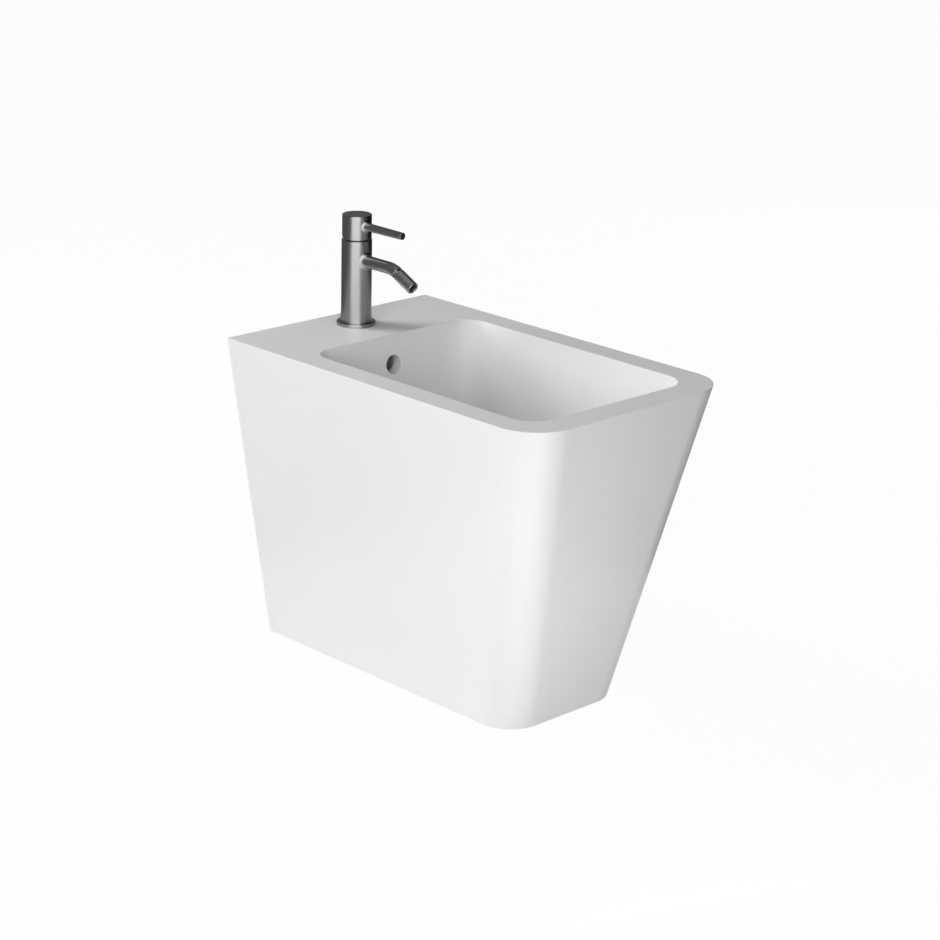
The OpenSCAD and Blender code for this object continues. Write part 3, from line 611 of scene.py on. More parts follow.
def opened(mesh: bpy.types.Mesh) -> bmesh.types.BMesh:
    """Opens a mesh for changes.

    Args:
        mesh: the mesh.

    Returns:
        A bmesh of it.
    """
    shape = bmesh.new()
    shape.from_mesh(mesh)
    return shape


def weld(shape: bmesh.types.BMesh, mesh: bpy.types.Mesh) -> None:
    """Merges points that nearly meet, drops what this flattens, and frees the bmesh.

    Args:
        shape: the bmesh.
        mesh: the mesh that it is written to.
    """
    bmesh.ops.remove_doubles(shape, verts=shape.verts, dist=WELD_REACH)
    bmesh.ops.dissolve_degenerate(shape, edges=shape.edges, dist=WELD_REACH)
    shape.to_mesh(mesh)
    shape.free()


def bridge(shape: bmesh.types.BMesh, rings: Sequence[Sequence[bmesh.types.BMVert]]) -> None:
    """Makes faces between closed rings of points; where points meet, a face has fewer corners.

    Args:
        shape: the bmesh that gets the faces.
        rings: rings of as many points each; every ring is joined to the next.
    """
    for low, high in zip(rings, rings[1:]):
        for side in range(len(low)):
            after = (side + 1) % len(low)
            corners = list(dict.fromkeys([low[side], low[after], high[after], high[side]]))
            if len(corners) > 2:
                shape.faces.new(corners)


def turned(outline: Sequence[Point], where: Matrix = ORIGIN, edge: float = 0.3 * MM, sides: int = 96,
           steps: int = 3) -> bpy.types.Mesh:
    """A lathe piece with eased edges: a closed outline turned about a frame's Z axis.

    Args:
        outline: (radius, height) corners, counterclockwise.
        where: the frame it is turned in.
        edge: edge radius.
        sides: steps round the axis.
        steps: steps of an eased edge.

    Returns:
        The mesh.
    """
    shape = bmesh.new()
    rings: list[list[bmesh.types.BMVert]] = []
    for radius, height in fillet(outline, edge, steps):
        if radius < TINY:
            rings.append([shape.verts.new(where @ Vector((0.0, 0.0, height)))] * sides)
            continue
        rings.append([
            shape.verts.new(where @ Vector((radius * math.cos(turn), radius * math.sin(turn), height)))
            for turn in (2 * math.pi * side / sides for side in range(sides))
        ])
    bridge(shape, rings + rings[:1])
    return meshed(shape)


@dataclass(frozen=True)
class Bore:
    """A plain round hole.

    Attributes:
        radius: its radius.
        length: its length.
        start: the point on its axis where it starts.
        sides: steps round it.
        along: the direction it runs in.
    """

    radius: float
    length: float
    start: Triple
    sides: int = 64
    along: Triple = UP

    def cutter(self) -> bpy.types.Mesh:
        """The hole as a solid."""
        radius, length = self.radius, self.length
        return turned([(0.0, 0.0), (radius, 0.0), (radius, length), (0.0, length)],
                      place_on(self.start, self.along), 0.0, self.sides, 1)


def block(low: Sequence[float], high: Sequence[float]) -> bpy.types.Mesh:
    """Makes a plain box.

    Args:
        low: its lowest corner.
        high: its highest corner.

    Returns:
        The box as a mesh.
    """
    shape = bmesh.new()
    middle = Matrix.Translation((Vector(low) + Vector(high)) / 2)
    size = Matrix.Diagonal((*(Vector(high) - Vector(low)), 1.0))
    bmesh.ops.create_cube(shape, size=1.0, matrix=middle @ size)
    return meshed(shape)


def skin(rings: Sequence[Sequence[Vector]]) -> bpy.types.Mesh:
    """Makes a closed solid through rings of points.

    Args:
        rings: rings of as many points each, counterclockwise, from the first cap to the last.

    Returns:
        The solid as a mesh.
    """
    shape = bmesh.new()
    loops = [[shape.verts.new(point) for point in ring] for ring in rings]
    bridge(shape, loops)
    shape.faces.new(list(reversed(loops[0])))
    shape.faces.new(loops[-1])
    return meshed(shape)


def painted(mesh: bpy.types.Mesh, finish: Finish) -> bpy.types.Mesh:
    """Gives all faces of a mesh one finish.

    Args:
        mesh: the mesh, which is changed.
        finish: its finish.

    Returns:
        The same mesh.
    """
    mesh.materials.clear()
    mesh.materials.append(finish.material())
    return mesh


def solid_object(mesh: bpy.types.Mesh, name: str = "work") -> bpy.types.Object:
    """Puts a mesh into the scene.

    Args:
        mesh: the mesh.
        name: name of its object.

    Returns:
        The object.
    """
    thing = bpy.data.objects.new(name, mesh)
    bpy.context.scene.collection.objects.link(thing)
    return thing


def settle(thing: bpy.types.Object) -> bpy.types.Mesh:
    """Turns the result of an object's modifiers into a plain mesh, and removes them with the object.

    Args:
        thing: the object.

    Returns:
        The mesh.
    """
    bpy.context.view_layer.update()
    graph = bpy.context.evaluated_depsgraph_get()
    made = bpy.data.meshes.new_from_object(thing.evaluated_get(graph), preserve_all_data_layers=True,
                                           depsgraph=graph)
    thing.modifiers.clear()
    bpy.data.objects.remove(thing)
    return made


class Meeting(Enum):
    """What a solid does to another one."""

    TAKE_AWAY = "DIFFERENCE"
    ADD = "UNION"


def cut(body: bpy.types.Mesh, tools: Iterable[bpy.types.Mesh], finish: Finish,
        meeting: Meeting = Meeting.TAKE_AWAY) -> bpy.types.Mesh:
    """Takes away, or adds, solids one after another.

    Args:
        body: the first solid.
        tools: solids that act on it; their materials come with their faces.
        finish: finish of the tools that have none yet.
        meeting: what the tools do.

    Returns:
        The result.
    """
    for tool in tools:
        if not tool.materials:
            painted(tool, finish)
        base, other = solid_object(body), solid_object(tool)
        modifier = base.modifiers.new("cut", "BOOLEAN")
        modifier.operation, modifier.solver, modifier.object = meeting.value, "EXACT", other
        modifier.material_mode = "TRANSFER"
        body = settle(base)
        bpy.data.objects.remove(other)
        weld(opened(body), body)
    return body


def ease(mesh: bpy.types.Mesh, radius: float, wanted: Callable[[bmesh.types.BMEdge], bool],
         steps: int = 3) -> bpy.types.Mesh:
    """Rounds the chosen edges of a mesh.

    Args:
        mesh: the mesh, which is changed.
        radius: width of the rounding.
        wanted: says whether an edge is rounded.
        steps: pieces of the rounding.

    Returns:
        The same mesh.
    """
    shape = opened(mesh)
    chosen = [edge for edge in shape.edges if len(edge.link_faces) == 2 and wanted(edge)]
    bmesh.ops.bevel(shape, geom=chosen, offset=radius, segments=steps, profile=0.5, affect="EDGES",
                    clamp_overlap=True)
    weld(shape, mesh)
    return mesh


# ---------------------------------------------------------------- geometry nodes

ROW_TO_CELL = 0.8660254
CORNER_TO_CELL = 0.5774


@dataclass
class Recipe(Wiring):
    """A Geometry Nodes tree with named inputs that ends in Realize Instances and Set Material.

    Attributes:
        name: the tree's name.
        inputs: its sizes and counts with their defaults; a whole number makes a whole number socket.
        entry: the node that gives the inputs.
    """

    name: str
    inputs: dict[str, float]
    entry: bpy.types.Node = field(init=False)

    def __post_init__(self) -> None:
        """Makes the tree's interface."""
        self.tree = bpy.data.node_groups.new(self.name, "GeometryNodeTree")
        face = self.tree.interface
        face.new_socket(name="Geometry", in_out="INPUT", socket_type="NodeSocketGeometry")
        for name, value in self.inputs.items():
            kind = "NodeSocketInt" if isinstance(value, int) else "NodeSocketFloat"
            face.new_socket(name=name, in_out="INPUT", socket_type=kind).default_value = value
        face.new_socket(name="Finish", in_out="INPUT", socket_type="NodeSocketMaterial")
        face.new_socket(name="Geometry", in_out="OUTPUT", socket_type="NodeSocketGeometry")
        self.entry = self.tree.nodes.new("NodeGroupInput")

    def given(self, name: str) -> Signal:
        """The tree's input with this name."""
        return Signal(self, self.entry.outputs[name])

    def ring(self, corners: int | Signal, radius: Signal) -> Signal:
        """A closed curve with this many corners."""
        return self.out("GeometryNodeCurvePrimitiveCircle", {}, {"Resolution": corners, "Radius": radius})

    def sweep(self, path: Signal, profile: Signal, caps: bool = True) -> Signal:
        """A profile run along a path, closed at its ends if caps is set."""
        return self.out("GeometryNodeCurveToMesh", {},
                        {"Curve": path, "Profile Curve": profile, "Fill Caps": caps})

    def vector(self, x: float | Signal, y: float | Signal, z: float | Signal) -> Signal:
        """Three numbers as one vector."""
        return self.out("ShaderNodeCombineXYZ", {}, {0: x, 1: y, 2: z})

    def changed(self, geometry: Signal, key: str, value: object) -> Signal:
        """A geometry with its Translation, Rotation or Scale changed."""
        return self.out("GeometryNodeTransform", {}, {"Geometry": geometry, key: value})

    def spread(self, points: Signal, instance: Signal) -> Signal:
        """One instance on each point."""
        return self.out("GeometryNodeInstanceOnPoints", {}, {"Points": points, "Instance": instance})

    def together(self, parts: list[Signal]) -> Signal:
        """Several geometries as one."""
        return self.out("GeometryNodeJoinGeometry", {}, {"Geometry": parts})

    def close(self, geometry: Signal) -> None:
        """Ends the tree in Realize Instances and Set Material.

        Args:
            geometry: what the tree has made.
        """
        real = self.out("GeometryNodeRealizeInstances", {}, {"Geometry": geometry})
        dressed = self.out("GeometryNodeSetMaterial", {},
                           {"Geometry": real, "Material": self.given("Finish")})
        self.add("NodeGroupOutput", {}, {0: dressed})

    def close_on_base(self, geometry: Signal, height: Signal) -> None:
        """Ends the tree with a geometry lifted to a height and joined to the piece it grows from."""
        lifted = self.changed(geometry, "Translation", self.vector(0.0, 0.0, height))
        self.close(self.together([lifted, self.given("Geometry")]))

    def run(self, base: bpy.types.Mesh, finish: Finish, values: dict[str, float]) -> bpy.types.Mesh:
        """Runs the tree on a mesh.

        Args:
            base: the mesh that it starts from.
            finish: finish of the result.
            values: the inputs' values by name.

        Returns:
            The result as a plain mesh with that one finish.
        """
        thing = solid_object(base)
        modifier = thing.modifiers.new(self.name, "NODES")
        modifier.node_group = self.tree
        for name, value in {**values, "Finish": finish.material()}.items():
            modifier[self.given(name).socket.identifier] = value
        return painted(settle(thing), finish)


def tube_recipe() -> Recipe:
    """Round tube along a path of edges; the path, and with it the bore, overruns both ends of the tube.

    Returns:
        The recipe.
    """
    recipe = Recipe("tube_along_path", {"Outer radius": 0.008, "Bore radius": 0.005, "Overrun": 0.0005,
                                        "Sides": 64})
    whole = recipe.out("GeometryNodeMeshToCurve", {}, {"Mesh": recipe.given("Geometry")})
    length, overrun = recipe.out("GeometryNodeCurveLength", {}, {"Curve": whole}), recipe.given("Overrun")
    start_length, end_length = 4, 5
    trimmed = recipe.out("GeometryNodeTrimCurve", {"mode": "LENGTH"},
                         {"Curve": whole, start_length: overrun, end_length: length - overrun})
    outer, bore = (recipe.sweep(path, recipe.ring(recipe.given("Sides"), recipe.given(name)))
                   for name, path in (("Outer radius", trimmed), ("Bore radius", whole)))
    recipe.close(recipe.out("GeometryNodeMeshBoolean", {"operation": "DIFFERENCE", "solver": "EXACT"},
                            {"Mesh 1": outer, "Mesh 2": bore}))
    return recipe


def rib_recipe() -> Recipe:
    """Upright grip ribs, evenly round the Z axis, joined to the piece they grow from.

    Returns:
        The recipe.
    """
    recipe = Recipe("ribs_round_axis", {"Count": 24, "Radius": 0.03, "Rib radius": 0.0015,
                                        "Rib height": 0.014, "Foot": 0.0})
    ring = recipe.out("GeometryNodeMeshCircle", {}, {"Vertices": recipe.given("Count"),
                                                     "Radius": recipe.given("Radius")})
    ball = recipe.out("GeometryNodeMeshUVSphere", {}, {"Segments": 12, "Rings": 8, "Radius": 1.0})
    thick, half = recipe.given("Rib radius"), recipe.given("Rib height") * 0.5
    rib = recipe.changed(ball, "Scale", recipe.vector(thick, thick, half))
    recipe.close_on_base(recipe.spread(ring, rib), recipe.given("Foot") + half)
    return recipe


def thread_recipe() -> Recipe:
    """Screw thread: a ridge along a helix, joined to its core.

    Returns:
        The recipe.
    """
    recipe = Recipe("screw_thread", {"Radius": 0.004, "Pitch": 0.00125, "Turns": 40.0, "Foot": 0.0,
                                     "Ridge": 0.0005})
    radius, turns = recipe.given("Radius"), recipe.given("Turns")
    helix = recipe.out("GeometryNodeCurveSpiral", {}, {
        "Resolution": 32, "Rotations": turns, "Start Radius": radius, "End Radius": radius,
        "Height": recipe.given("Pitch") * turns})
    recipe.close_on_base(recipe.sweep(helix, recipe.ring(4, recipe.given("Ridge"))), recipe.given("Foot"))
    return recipe


def honeycomb_recipe() -> Recipe:
    """Round plate of hexagonal cells, joined to the rim that holds it.

    Returns:
        The recipe.
    """
    recipe = Recipe("honeycomb_plate", {"Plate radius": 0.0048, "Cell": 0.0011, "Web": 0.00022,
                                        "Depth": 0.0015, "Foot": 0.0})
    cell, columns, rows = recipe.given("Cell"), 13, 9
    row = cell * ROW_TO_CELL
    grids: list[Signal] = []
    for shift in (0.0, 0.5):
        grid = recipe.out("GeometryNodeMeshGrid", {}, {
            "Vertices X": columns, "Vertices Y": rows, "Size X": cell * (columns - 1.0),
            "Size Y": row * (2.0 * (rows - 1))})
        place = recipe.vector(cell * shift, row * (2.0 * shift), 0.0)
        grids.append(recipe.changed(grid, "Translation", place))
    far = recipe.out("ShaderNodeVectorMath", {"operation": "LENGTH"},
                     {0: recipe.out("GeometryNodeInputPosition")}, "Value")
    outside = recipe.out("FunctionNodeCompare", {"data_type": "FLOAT", "operation": "GREATER_THAN"},
                         {0: far, 1: recipe.given("Plate radius")})
    points = recipe.out("GeometryNodeDeleteGeometry", {"domain": "POINT"},
                        {"Geometry": recipe.together(grids), "Selection": outside})
    hexagon = recipe.changed(recipe.ring(6, cell * CORNER_TO_CELL), "Rotation", (0.0, 0.0, math.pi / 6))
    web = recipe.out("GeometryNodeCurvePrimitiveQuadrilateral", {}, {"Width": recipe.given("Web"),
                                                                     "Height": recipe.given("Depth")})
    recipe.close_on_base(recipe.spread(points, recipe.sweep(hexagon, web, caps=False)), recipe.given("Foot"))
    return recipe


# ---------------------------------------------------------------- assemblies


class Body(Enum):
    """Bodies of the construction that carry built pieces."""

    FIXTURE = "fixture"
    LEVER = "lever"
    NOZZLE = "nozzle"
    PLUG = "plug"


@dataclass
class Assembly:
    """A group of pieces that is built and dressed together."""

    def keep(self, mesh: bpy.types.Mesh, name: str, node: str, slot: Slot, body: Body = Body.FIXTURE,
             smooth: float = 40.0) -> None:
        """Makes a finished piece of a mesh and hands it to its body.

        Args:
            mesh: the piece's mesh, already in place and dressed.
            name: piece name.
            node: construction node that it stands for.
            slot: the record's material slot; not used.
            body: the body it rides on.
            smooth: edges sharper than this many degrees stay sharp.
        """
        piece = solid_object(mesh, name)
        mesh.name = name
        mesh.shade_smooth()
        mesh.set_sharp_from_angle(angle=math.radians(smooth))
        piece.modifiers.new("weighted", "WEIGHTED_NORMAL").keep_sharp = True
        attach(piece, body.value)
        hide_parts(node)
        LOG.info("%s: %d faces, rides on %s", name, len(mesh.polygons), body.value)


@dataclass
class CeramicBody(Assembly):
    """One piece ceramic: tapered shell, ledge, basin, overflow duct, service opening and foot lugs."""

    width: float = 345 * MM
    depth: float = 550 * MM
    height: float = 420 * MM
    foot_width: float = 205 * MM
    foot_inset: float = 95 * MM
    rim_corner: float = 57 * MM
    foot_corner: float = 47 * MM
    wall: float = 12 * MM
    ledge: float = 14 * MM
    mouth_half: float = 137 * MM
    mouth_front: float = -236.6 * MM
    mouth_rear: float = 153.5 * MM
    mouth_front_corner: float = 36 * MM
    mouth_rear_corner: float = 30 * MM
    side_draft: float = 12 * MM
    front_draft: float = 20 * MM
    rear_draft: float = 14 * MM
    floor: float = 270 * MM
    floor_rise: float = 8 * MM
    fillet_radius: float = 50 * MM
    shell: float = 11 * MM
    glaze_edge: float = 1.8 * MM
    glaze_angle: float = math.radians(28)
    overflow_radius: float = 12.5 * MM
    overflow_height: float = 381 * MM
    overflow_y: float = 170.5 * MM
    overflow_length: float = 40 * MM
    overflow_glazed: float = 160 * MM
    duct_half: float = 13 * MM
    duct_low: float = 244 * MM
    duct_top: float = 399.5 * MM
    duct_depth: float = 16 * MM
    duct_wall: float = 8 * MM
    channel_top: float = 259 * MM
    collector_radius: float = 33 * MM
    waste_y: float = 30 * MM
    seat_radius: float = 36 * MM
    seat_low: float = 268 * MM
    waste_hole: float = 23 * MM
    waste_low: float = 235 * MM
    nut_space: float = 48 * MM
    nut_low: float = 206 * MM
    nut_length: float = 29.95 * MM
    tap_y: float = 222 * MM
    tap_hole: float = 17.5 * MM
    tap_low: float = 404 * MM
    opening_low: float = 40 * MM
    opening_top: float = 372 * MM
    opening_corner: float = 9 * MM
    opening_foot_side: float = 34 * MM
    opening_top_side: float = 42 * MM
    below: float = -4 * MM
    lug_x: float = 76 * MM
    lug_half: float = 24 * MM
    lug_front: float = 183 * MM
    lug_rear: float = 217 * MM
    lug_top: float = 18 * MM
    bush_x: float = 70 * MM
    bush_y: float = 200 * MM
    bush_radius: float = 7.25 * MM
    corner_steps: int = 20
    round_steps: int = 12

    def plan(self, height: float, inset: float) -> list[Vector]:
        """Outline of the casting at a height.

        Args:
            height: height over the floor.
            inset: how far it is set in all round.

        Returns:
            The points, counterclockwise from the right rear corner.
        """
        share = height / self.height
        half = (self.foot_width + (self.width - self.foot_width) * share) / 2 - inset
        front = -self.depth / 2 + self.foot_inset * (1 - share) + inset
        rear = self.depth / 2 - inset
        corner = self.foot_corner + (self.rim_corner - self.foot_corner) * share - inset
        points = [Vector((half, rear, height)), Vector((-half, rear, height))]
        for side, start in ((-1, math.pi), (1, 1.5 * math.pi)):
            points += [Vector((side * (half - corner) + corner * math.cos(turn),
                               front + corner + corner * math.sin(turn), height))
                       for turn in quarter(start, self.corner_steps)]
        return points

    def casting(self, low: float, high: float, inset: float) -> bpy.types.Mesh:
        """The casting's tapered outline as a solid between two heights."""
        return skin([self.plan(low, inset), self.plan(high, inset)])

    def basin(self, grow: float, top: float) -> bpy.types.Mesh:
        """The basin's hollow: straight rulings from the mouth that run into a rounded, sloping floor.

        Args:
            grow: how far the hollow is grown outward.
            top: height of the flat top.

        Returns:
            The hollow as a solid.
        """
        ball, rounds = self.fillet_radius, self.round_steps
        rear = (self.mouth_rear - self.mouth_rear_corner, self.mouth_rear_corner,
                self.mouth_rear - self.rear_draft - ball, self.floor + ball)
        front = (self.mouth_front + self.mouth_front_corner, self.mouth_front_corner,
                 self.mouth_front + self.front_draft + ball, self.floor + ball + self.floor_rise)
        down = Vector((0.0, -self.floor_rise, front[2] - rear[2])).normalized()
        rings: list[list[Vector]] = [[] for _ in range(rounds + 3)]
        for side, end, start in ((1, rear, 0.0), (-1, rear, 0.5 * math.pi), (-1, front, math.pi),
                                 (1, front, 1.5 * math.pi)):
            mouth_y, corner, low_y, low_z = end
            mouth = Vector((side * (self.mouth_half - corner), mouth_y, self.height))
            low = Vector((side * (self.mouth_half - self.side_draft - ball), low_y, low_z))
            drop = mouth.z - low.z
            for turn in quarter(start, self.corner_steps):
                out = Vector((math.cos(turn), math.sin(turn), 0.0))
                level = (low - mouth).dot(out) - corner - grow
                lean = math.asin(-(ball + grow) / math.hypot(level, drop)) + math.atan2(-level, drop)
                normal = (out * math.cos(lean) - Vector((0.0, 0.0, math.sin(lean)))).normalized()
                rim = mouth + out * (corner + grow)
                rings[-1].append(Vector((rim.x, rim.y, top)))
                rings[-2].append(rim)
                for index in range(rounds + 1):
                    rings[rounds - index].append(low + normal.slerp(down, index / rounds) * (ball + grow))
        if top <= self.height + TINY:
            rings.pop()
        return skin(rings)

    def duct(self, grow: float) -> list[bpy.types.Mesh]:
        """The overflow duct from the hole to the waste.

        Args:
            grow: how far it is grown outward.

        Returns:
            Its shaft, its channel and the space round the waste.
        """
        half, low = self.duct_half + grow, self.duct_low - grow
        face, step = self.mouth_rear + self.shell - 2 * MM, 0.02 * MM
        return [
            block((-half, face - grow, low - step),
                  (half, face + self.duct_depth + grow, self.duct_top + grow)),
            block((-half + step, self.waste_y, low + step),
                  (half - step, face + self.duct_depth / 2, self.channel_top + grow - step)),
            self.waste_bore(self.collector_radius + grow, low, self.channel_top + grow - low, 64),
        ]

    def service_opening(self) -> bpy.types.Mesh:
        """The opening in the rear wall, narrower at the floor.

        Returns:
            The opening as a solid.
        """
        low, high = self.foot_width / 2 - self.opening_foot_side, self.width / 2 - self.opening_top_side
        corners = ((-low, self.opening_low), (low, self.opening_low), (high, self.opening_top),
                   (-high, self.opening_top))
        outline = fillet(corners, self.opening_corner, steps=5, keep_axis=False)
        rear = self.depth / 2
        return skin([[Vector((x, y, z)) for x, z in outline] for y in (rear + MM, rear - self.wall - MM)])

    def waste_bore(self, radius: float, low: float, length: float, sides: int = 96) -> bpy.types.Mesh:
        """A round cutter on the waste's axis."""
        return Bore(radius, length, (0.0, self.waste_y, low), sides).cutter()

    def build(self) -> None:
        """Builds the casting and hands it over."""
        lugs = [block((side * self.lug_x - self.lug_half, self.lug_front, self.below - MM),
                      (side * self.lug_x + self.lug_half, self.lug_rear, self.lug_top))
                for side in (-1, 1)]
        keep_clear = [self.basin(self.shell, self.height), *self.duct(self.duct_wall), *lugs]
        hollow = painted(self.casting(self.below, self.height - self.ledge, self.wall), BISCUIT)
        overflow = Bore(self.overflow_radius, self.overflow_length,
                        (0.0, self.overflow_y, self.overflow_height), along=FORWARD)
        bushes = [Bore(self.bush_radius, 22 * MM, (side * self.bush_x, self.bush_y, -MM), sides=48)
                  for side in (-1, 1)]
        tools = [painted(self.basin(0.0, self.height + MM), GLAZE), cut(hollow, keep_clear, BISCUIT),
                 *self.duct(0.0), painted(overflow.cutter(), GLAZE),
                 painted(self.waste_bore(self.seat_radius, self.seat_low, 22 * MM), GLAZE),
                 self.waste_bore(self.waste_hole, self.waste_low, 60 * MM),
                 self.waste_bore(self.nut_space, self.nut_low, self.nut_length),
                 Bore(self.tap_hole, 20 * MM, (0.0, self.tap_y, self.tap_low)).cutter(),
                 self.service_opening(), *(bush.cutter() for bush in bushes)]
        body = cut(painted(self.casting(0.0, self.height, 0.0), GLAZE), tools, BISCUIT)
        ease(body, self.glaze_edge, self.shows_edge)
        self.keep(body, "bidet_ceramic", "ceramic_body", Slot.CERAMIC, smooth=30.0)

    def shows_edge(self, edge: bmesh.types.BMEdge) -> bool:
        """Tells the outer, glazed edges: rim, mouth, corners, foot and holes.

        Args:
            edge: an edge of the casting.

        Returns:
            Whether it is one of them.
        """
        if edge.calc_face_angle(0.0) < self.glaze_angle:
            return False
        ends = [vertex.co for vertex in edge.verts]
        on_top = all(abs(point.z - self.height) < MICRON for point in ends)
        on_rear = all(abs(point.y - self.depth / 2) < MICRON for point in ends)
        on_foot = all(abs(point.z) < MICRON for point in ends)
        on_overflow = all(
            abs(math.hypot(point.x, point.z - self.overflow_height) - self.overflow_radius) < 20 * MICRON
            and point.y < self.overflow_glazed for point in ends)
        return on_top or on_rear or on_foot or on_overflow


@dataclass
class Mixer(Assembly):
    """Single lever mixer: base ring, column, spout, handle cap, lever pin and swivel nozzle."""

    tube: Recipe
    honeycomb: Recipe
    thread: Recipe
    axis_y: float = 222 * MM
    ledge: float = 420 * MM
    ring_radius: float = 25.5 * MM
    ring_height: float = 5 * MM
    column_radius: float = 19.8 * MM
    column_top: float = 533.3 * MM
    flare: float = 1.1 * MM
    spigot: float = 16.6 * MM
    seat: float = 515.5 * MM
    seat_radius: float = 12.6 * MM
    seat_height: float = 8.5 * MM
    column_bore: float = 15 * MM
    cap_radius: float = 19.2 * MM
    cap_low: float = 535.1 * MM
    cap_height: float = 31.2 * MM
    cap_wall: float = 2.2 * MM
    cap_hinge: float = 3.2 * MM
    lever_height: float = 552.6 * MM
    lever_reach: float = 87 * MM
    lever_root: float = 5.4 * MM
    lever_tip: float = 4.75 * MM
    lever_pin: float = 3 * MM
    lift: float = math.radians(20.5)
    spout_height: float = 507 * MM
    spout_radius: float = 8 * MM
    spout_bore: float = 5 * MM
    spout_start: float = 203.9 * MM
    socket_y: float = 204 * MM
    waterway_y: float = 219.7 * MM
    outlet_y: float = 216.5 * MM
    outlet_radius: float = 2.8 * MM
    riser_x: float = 5.3 * MM
    riser_low: float = 430 * MM
    riser_radius: float = 2 * MM
    bend_y: float = 161.85 * MM
    bend_radius: float = 42.665 * MM
    fall: float = math.radians(26)
    ball: Triple = (0.0, 138.473 * MM, 500.4025 * MM)
    socket: float = 6.94 * MM
    lip: float = -3.5 * MM
    tip: float = 27.2 * MM
    inlet_x: float = 7.5 * MM
    inlet_y: float = 225.5 * MM
    inlet_low: float = 419.5 * MM
    inlet_mouth: float = 5.2 * MM
    inlet_core: float = 4.5 * MM
    stud_y: float = 212.5 * MM
    stud_hole: float = 4 * MM
    stud_core: float = 3.45 * MM
    stud_length: float = 69 * MM
    stud_low: float = 356 * MM
    column_foot: float = 412 * MM
    key: tuple[float, float] = (2.55 * MM, 3.05 * MM)

    def upright(self, height: float = 0.0) -> Matrix:
        """A frame on the mixer's axis at this height."""
        return at(0.0, self.axis_y, height)

    def outward(self) -> Vector:
        """The direction in which spout and nozzle end."""
        return Vector((0.0, -math.cos(self.fall), -math.sin(self.fall)))

    def dress_top(self, mesh: bpy.types.Mesh, height: float) -> None:
        """Gives the level top of a turned piece a finish without the stretch of its sides.

        Args:
            mesh: the piece.
            height: height of its top.
        """
        level, near = 0.9, 0.5 * MM
        mesh.materials.append(CAP_STEEL.material())
        for face in mesh.polygons:
            if face.normal.z > level and face.center.z > height - near:
                face.material_index = len(mesh.materials) - 1

    def boss(self, height: float, barrel: float, root: float, grow: float) -> bpy.types.Mesh:
        """A boss that flares smoothly from the root of a rod into an upright barrel.

        Args:
            height: height of the rod's axis.
            barrel: radius of the barrel it stands on.
            root: radius of the rod.
            grow: radius of the flare.

        Returns:
            The boss as a closed mesh, reaching 1 mm into the barrel.
        """
        shape, sides, steps = bmesh.new(), 96, 10
        widest, sunk, skirt, deep = math.radians(80.0), 0.06 * MM, 0.3 * MM, MM
        levels = [(root + grow * (1 - math.cos(turn)), grow * (1 - math.sin(turn)) - sunk)
                  for turn in (widest * step / steps for step in range(steps + 1))]
        levels.append((levels[-1][0] + skirt, -deep))
        rings = []
        for radius, proud in levels:
            ring = []
            for turn in (math.tau * side / sides for side in range(sides)):
                x = radius * math.cos(turn)
                y = self.axis_y - math.sqrt(barrel * barrel - x * x) - proud
                ring.append(shape.verts.new((x, y, height + radius * math.sin(turn))))
            rings.append(ring)
        bridge(shape, rings)
        for ring, proud in ((rings[0], grow), (rings[-1], -deep)):
            middle = shape.verts.new((0.0, self.axis_y - barrel - proud, height))
            bridge(shape, [ring, [middle] * sides])
        return meshed(shape)

    def base_ring(self) -> None:
        """Flat ring between column and ledge."""
        inner, outer, top, groove = 17.1 * MM, self.ring_radius, self.ring_height, (20.25 * MM, 22.75 * MM)
        outline = [(inner, 0.0), (groove[0], 0.0), (groove[0], 2 * MM), (groove[1], 2 * MM), (groove[1], 0.0),
                   (outer, 0.0), (outer, top, 1.5 * MM), (inner, top)]
        mesh = turned(outline, self.upright(self.ledge), edge=0.2 * MM, sides=128, steps=5)
        painted(mesh, COLUMN_STEEL)
        self.dress_top(mesh, self.ledge + top)
        self.keep(mesh, "mixer_base_ring", "tap_base_ring", Slot.SATIN_STEEL)

    def column(self) -> None:
        """Turned column with its waterways, cartridge seat, stud thread and spout socket."""
        radius, foot, top = self.column_radius, self.ledge + self.ring_height, self.column_top
        low, under, spout = self.column_foot, self.column_foot - MM, self.spout_height
        flared, bore, shoulder = radius + self.flare, self.column_bore, self.seat + self.seat_height
        outline = [(0.0, low), (self.spigot, low), (self.spigot, foot), (flared, foot),
                   (flared, foot + 1.5 * MM, 0.6 * MM), (radius, foot + 12 * MM, 8 * MM),
                   (radius, top, 0.5 * MM), (bore, top), (bore, shoulder), (self.seat_radius, shoulder),
                   (self.seat_radius, self.seat), (0.0, self.seat)]
        mesh = painted(turned(outline, self.upright(), edge=0.25 * MM, sides=128, steps=4), COLUMN_STEEL)
        boss = self.boss(spout, radius, self.spout_radius, grow=4.4 * MM)
        mesh = cut(mesh, [boss], COLUMN_STEEL, Meeting.ADD)
        socket, waterway, outlet, stud = ((0.0, y, z) for y, z in (
            (self.socket_y, spout), (self.waterway_y, spout), (self.outlet_y, spout), (self.stud_y, under)))
        bores = [Bore(self.spout_radius + 0.05 * MM, 12 * MM, socket, along=FORWARD),
                 Bore(self.spout_bore, 18 * MM, waterway, sides=32, along=FORWARD),
                 Bore(self.outlet_radius, 12 * MM, outlet, sides=32),
                 Bore(self.stud_hole, 16 * MM, stud, sides=32)]
        for side in (-1, 1):
            x, y, riser_x = side * self.inlet_x, self.inlet_y, side * self.riser_x
            bores += [Bore(self.inlet_mouth, 9.5 * MM, (x, y, under), sides=32),
                      Bore(self.inlet_core, 15 * MM, (x, y, self.inlet_low), sides=40),
                      Bore(self.riser_radius, 88 * MM, (riser_x, y, self.riser_low), sides=24)]
        tools = [bore.cutter() for bore in bores]
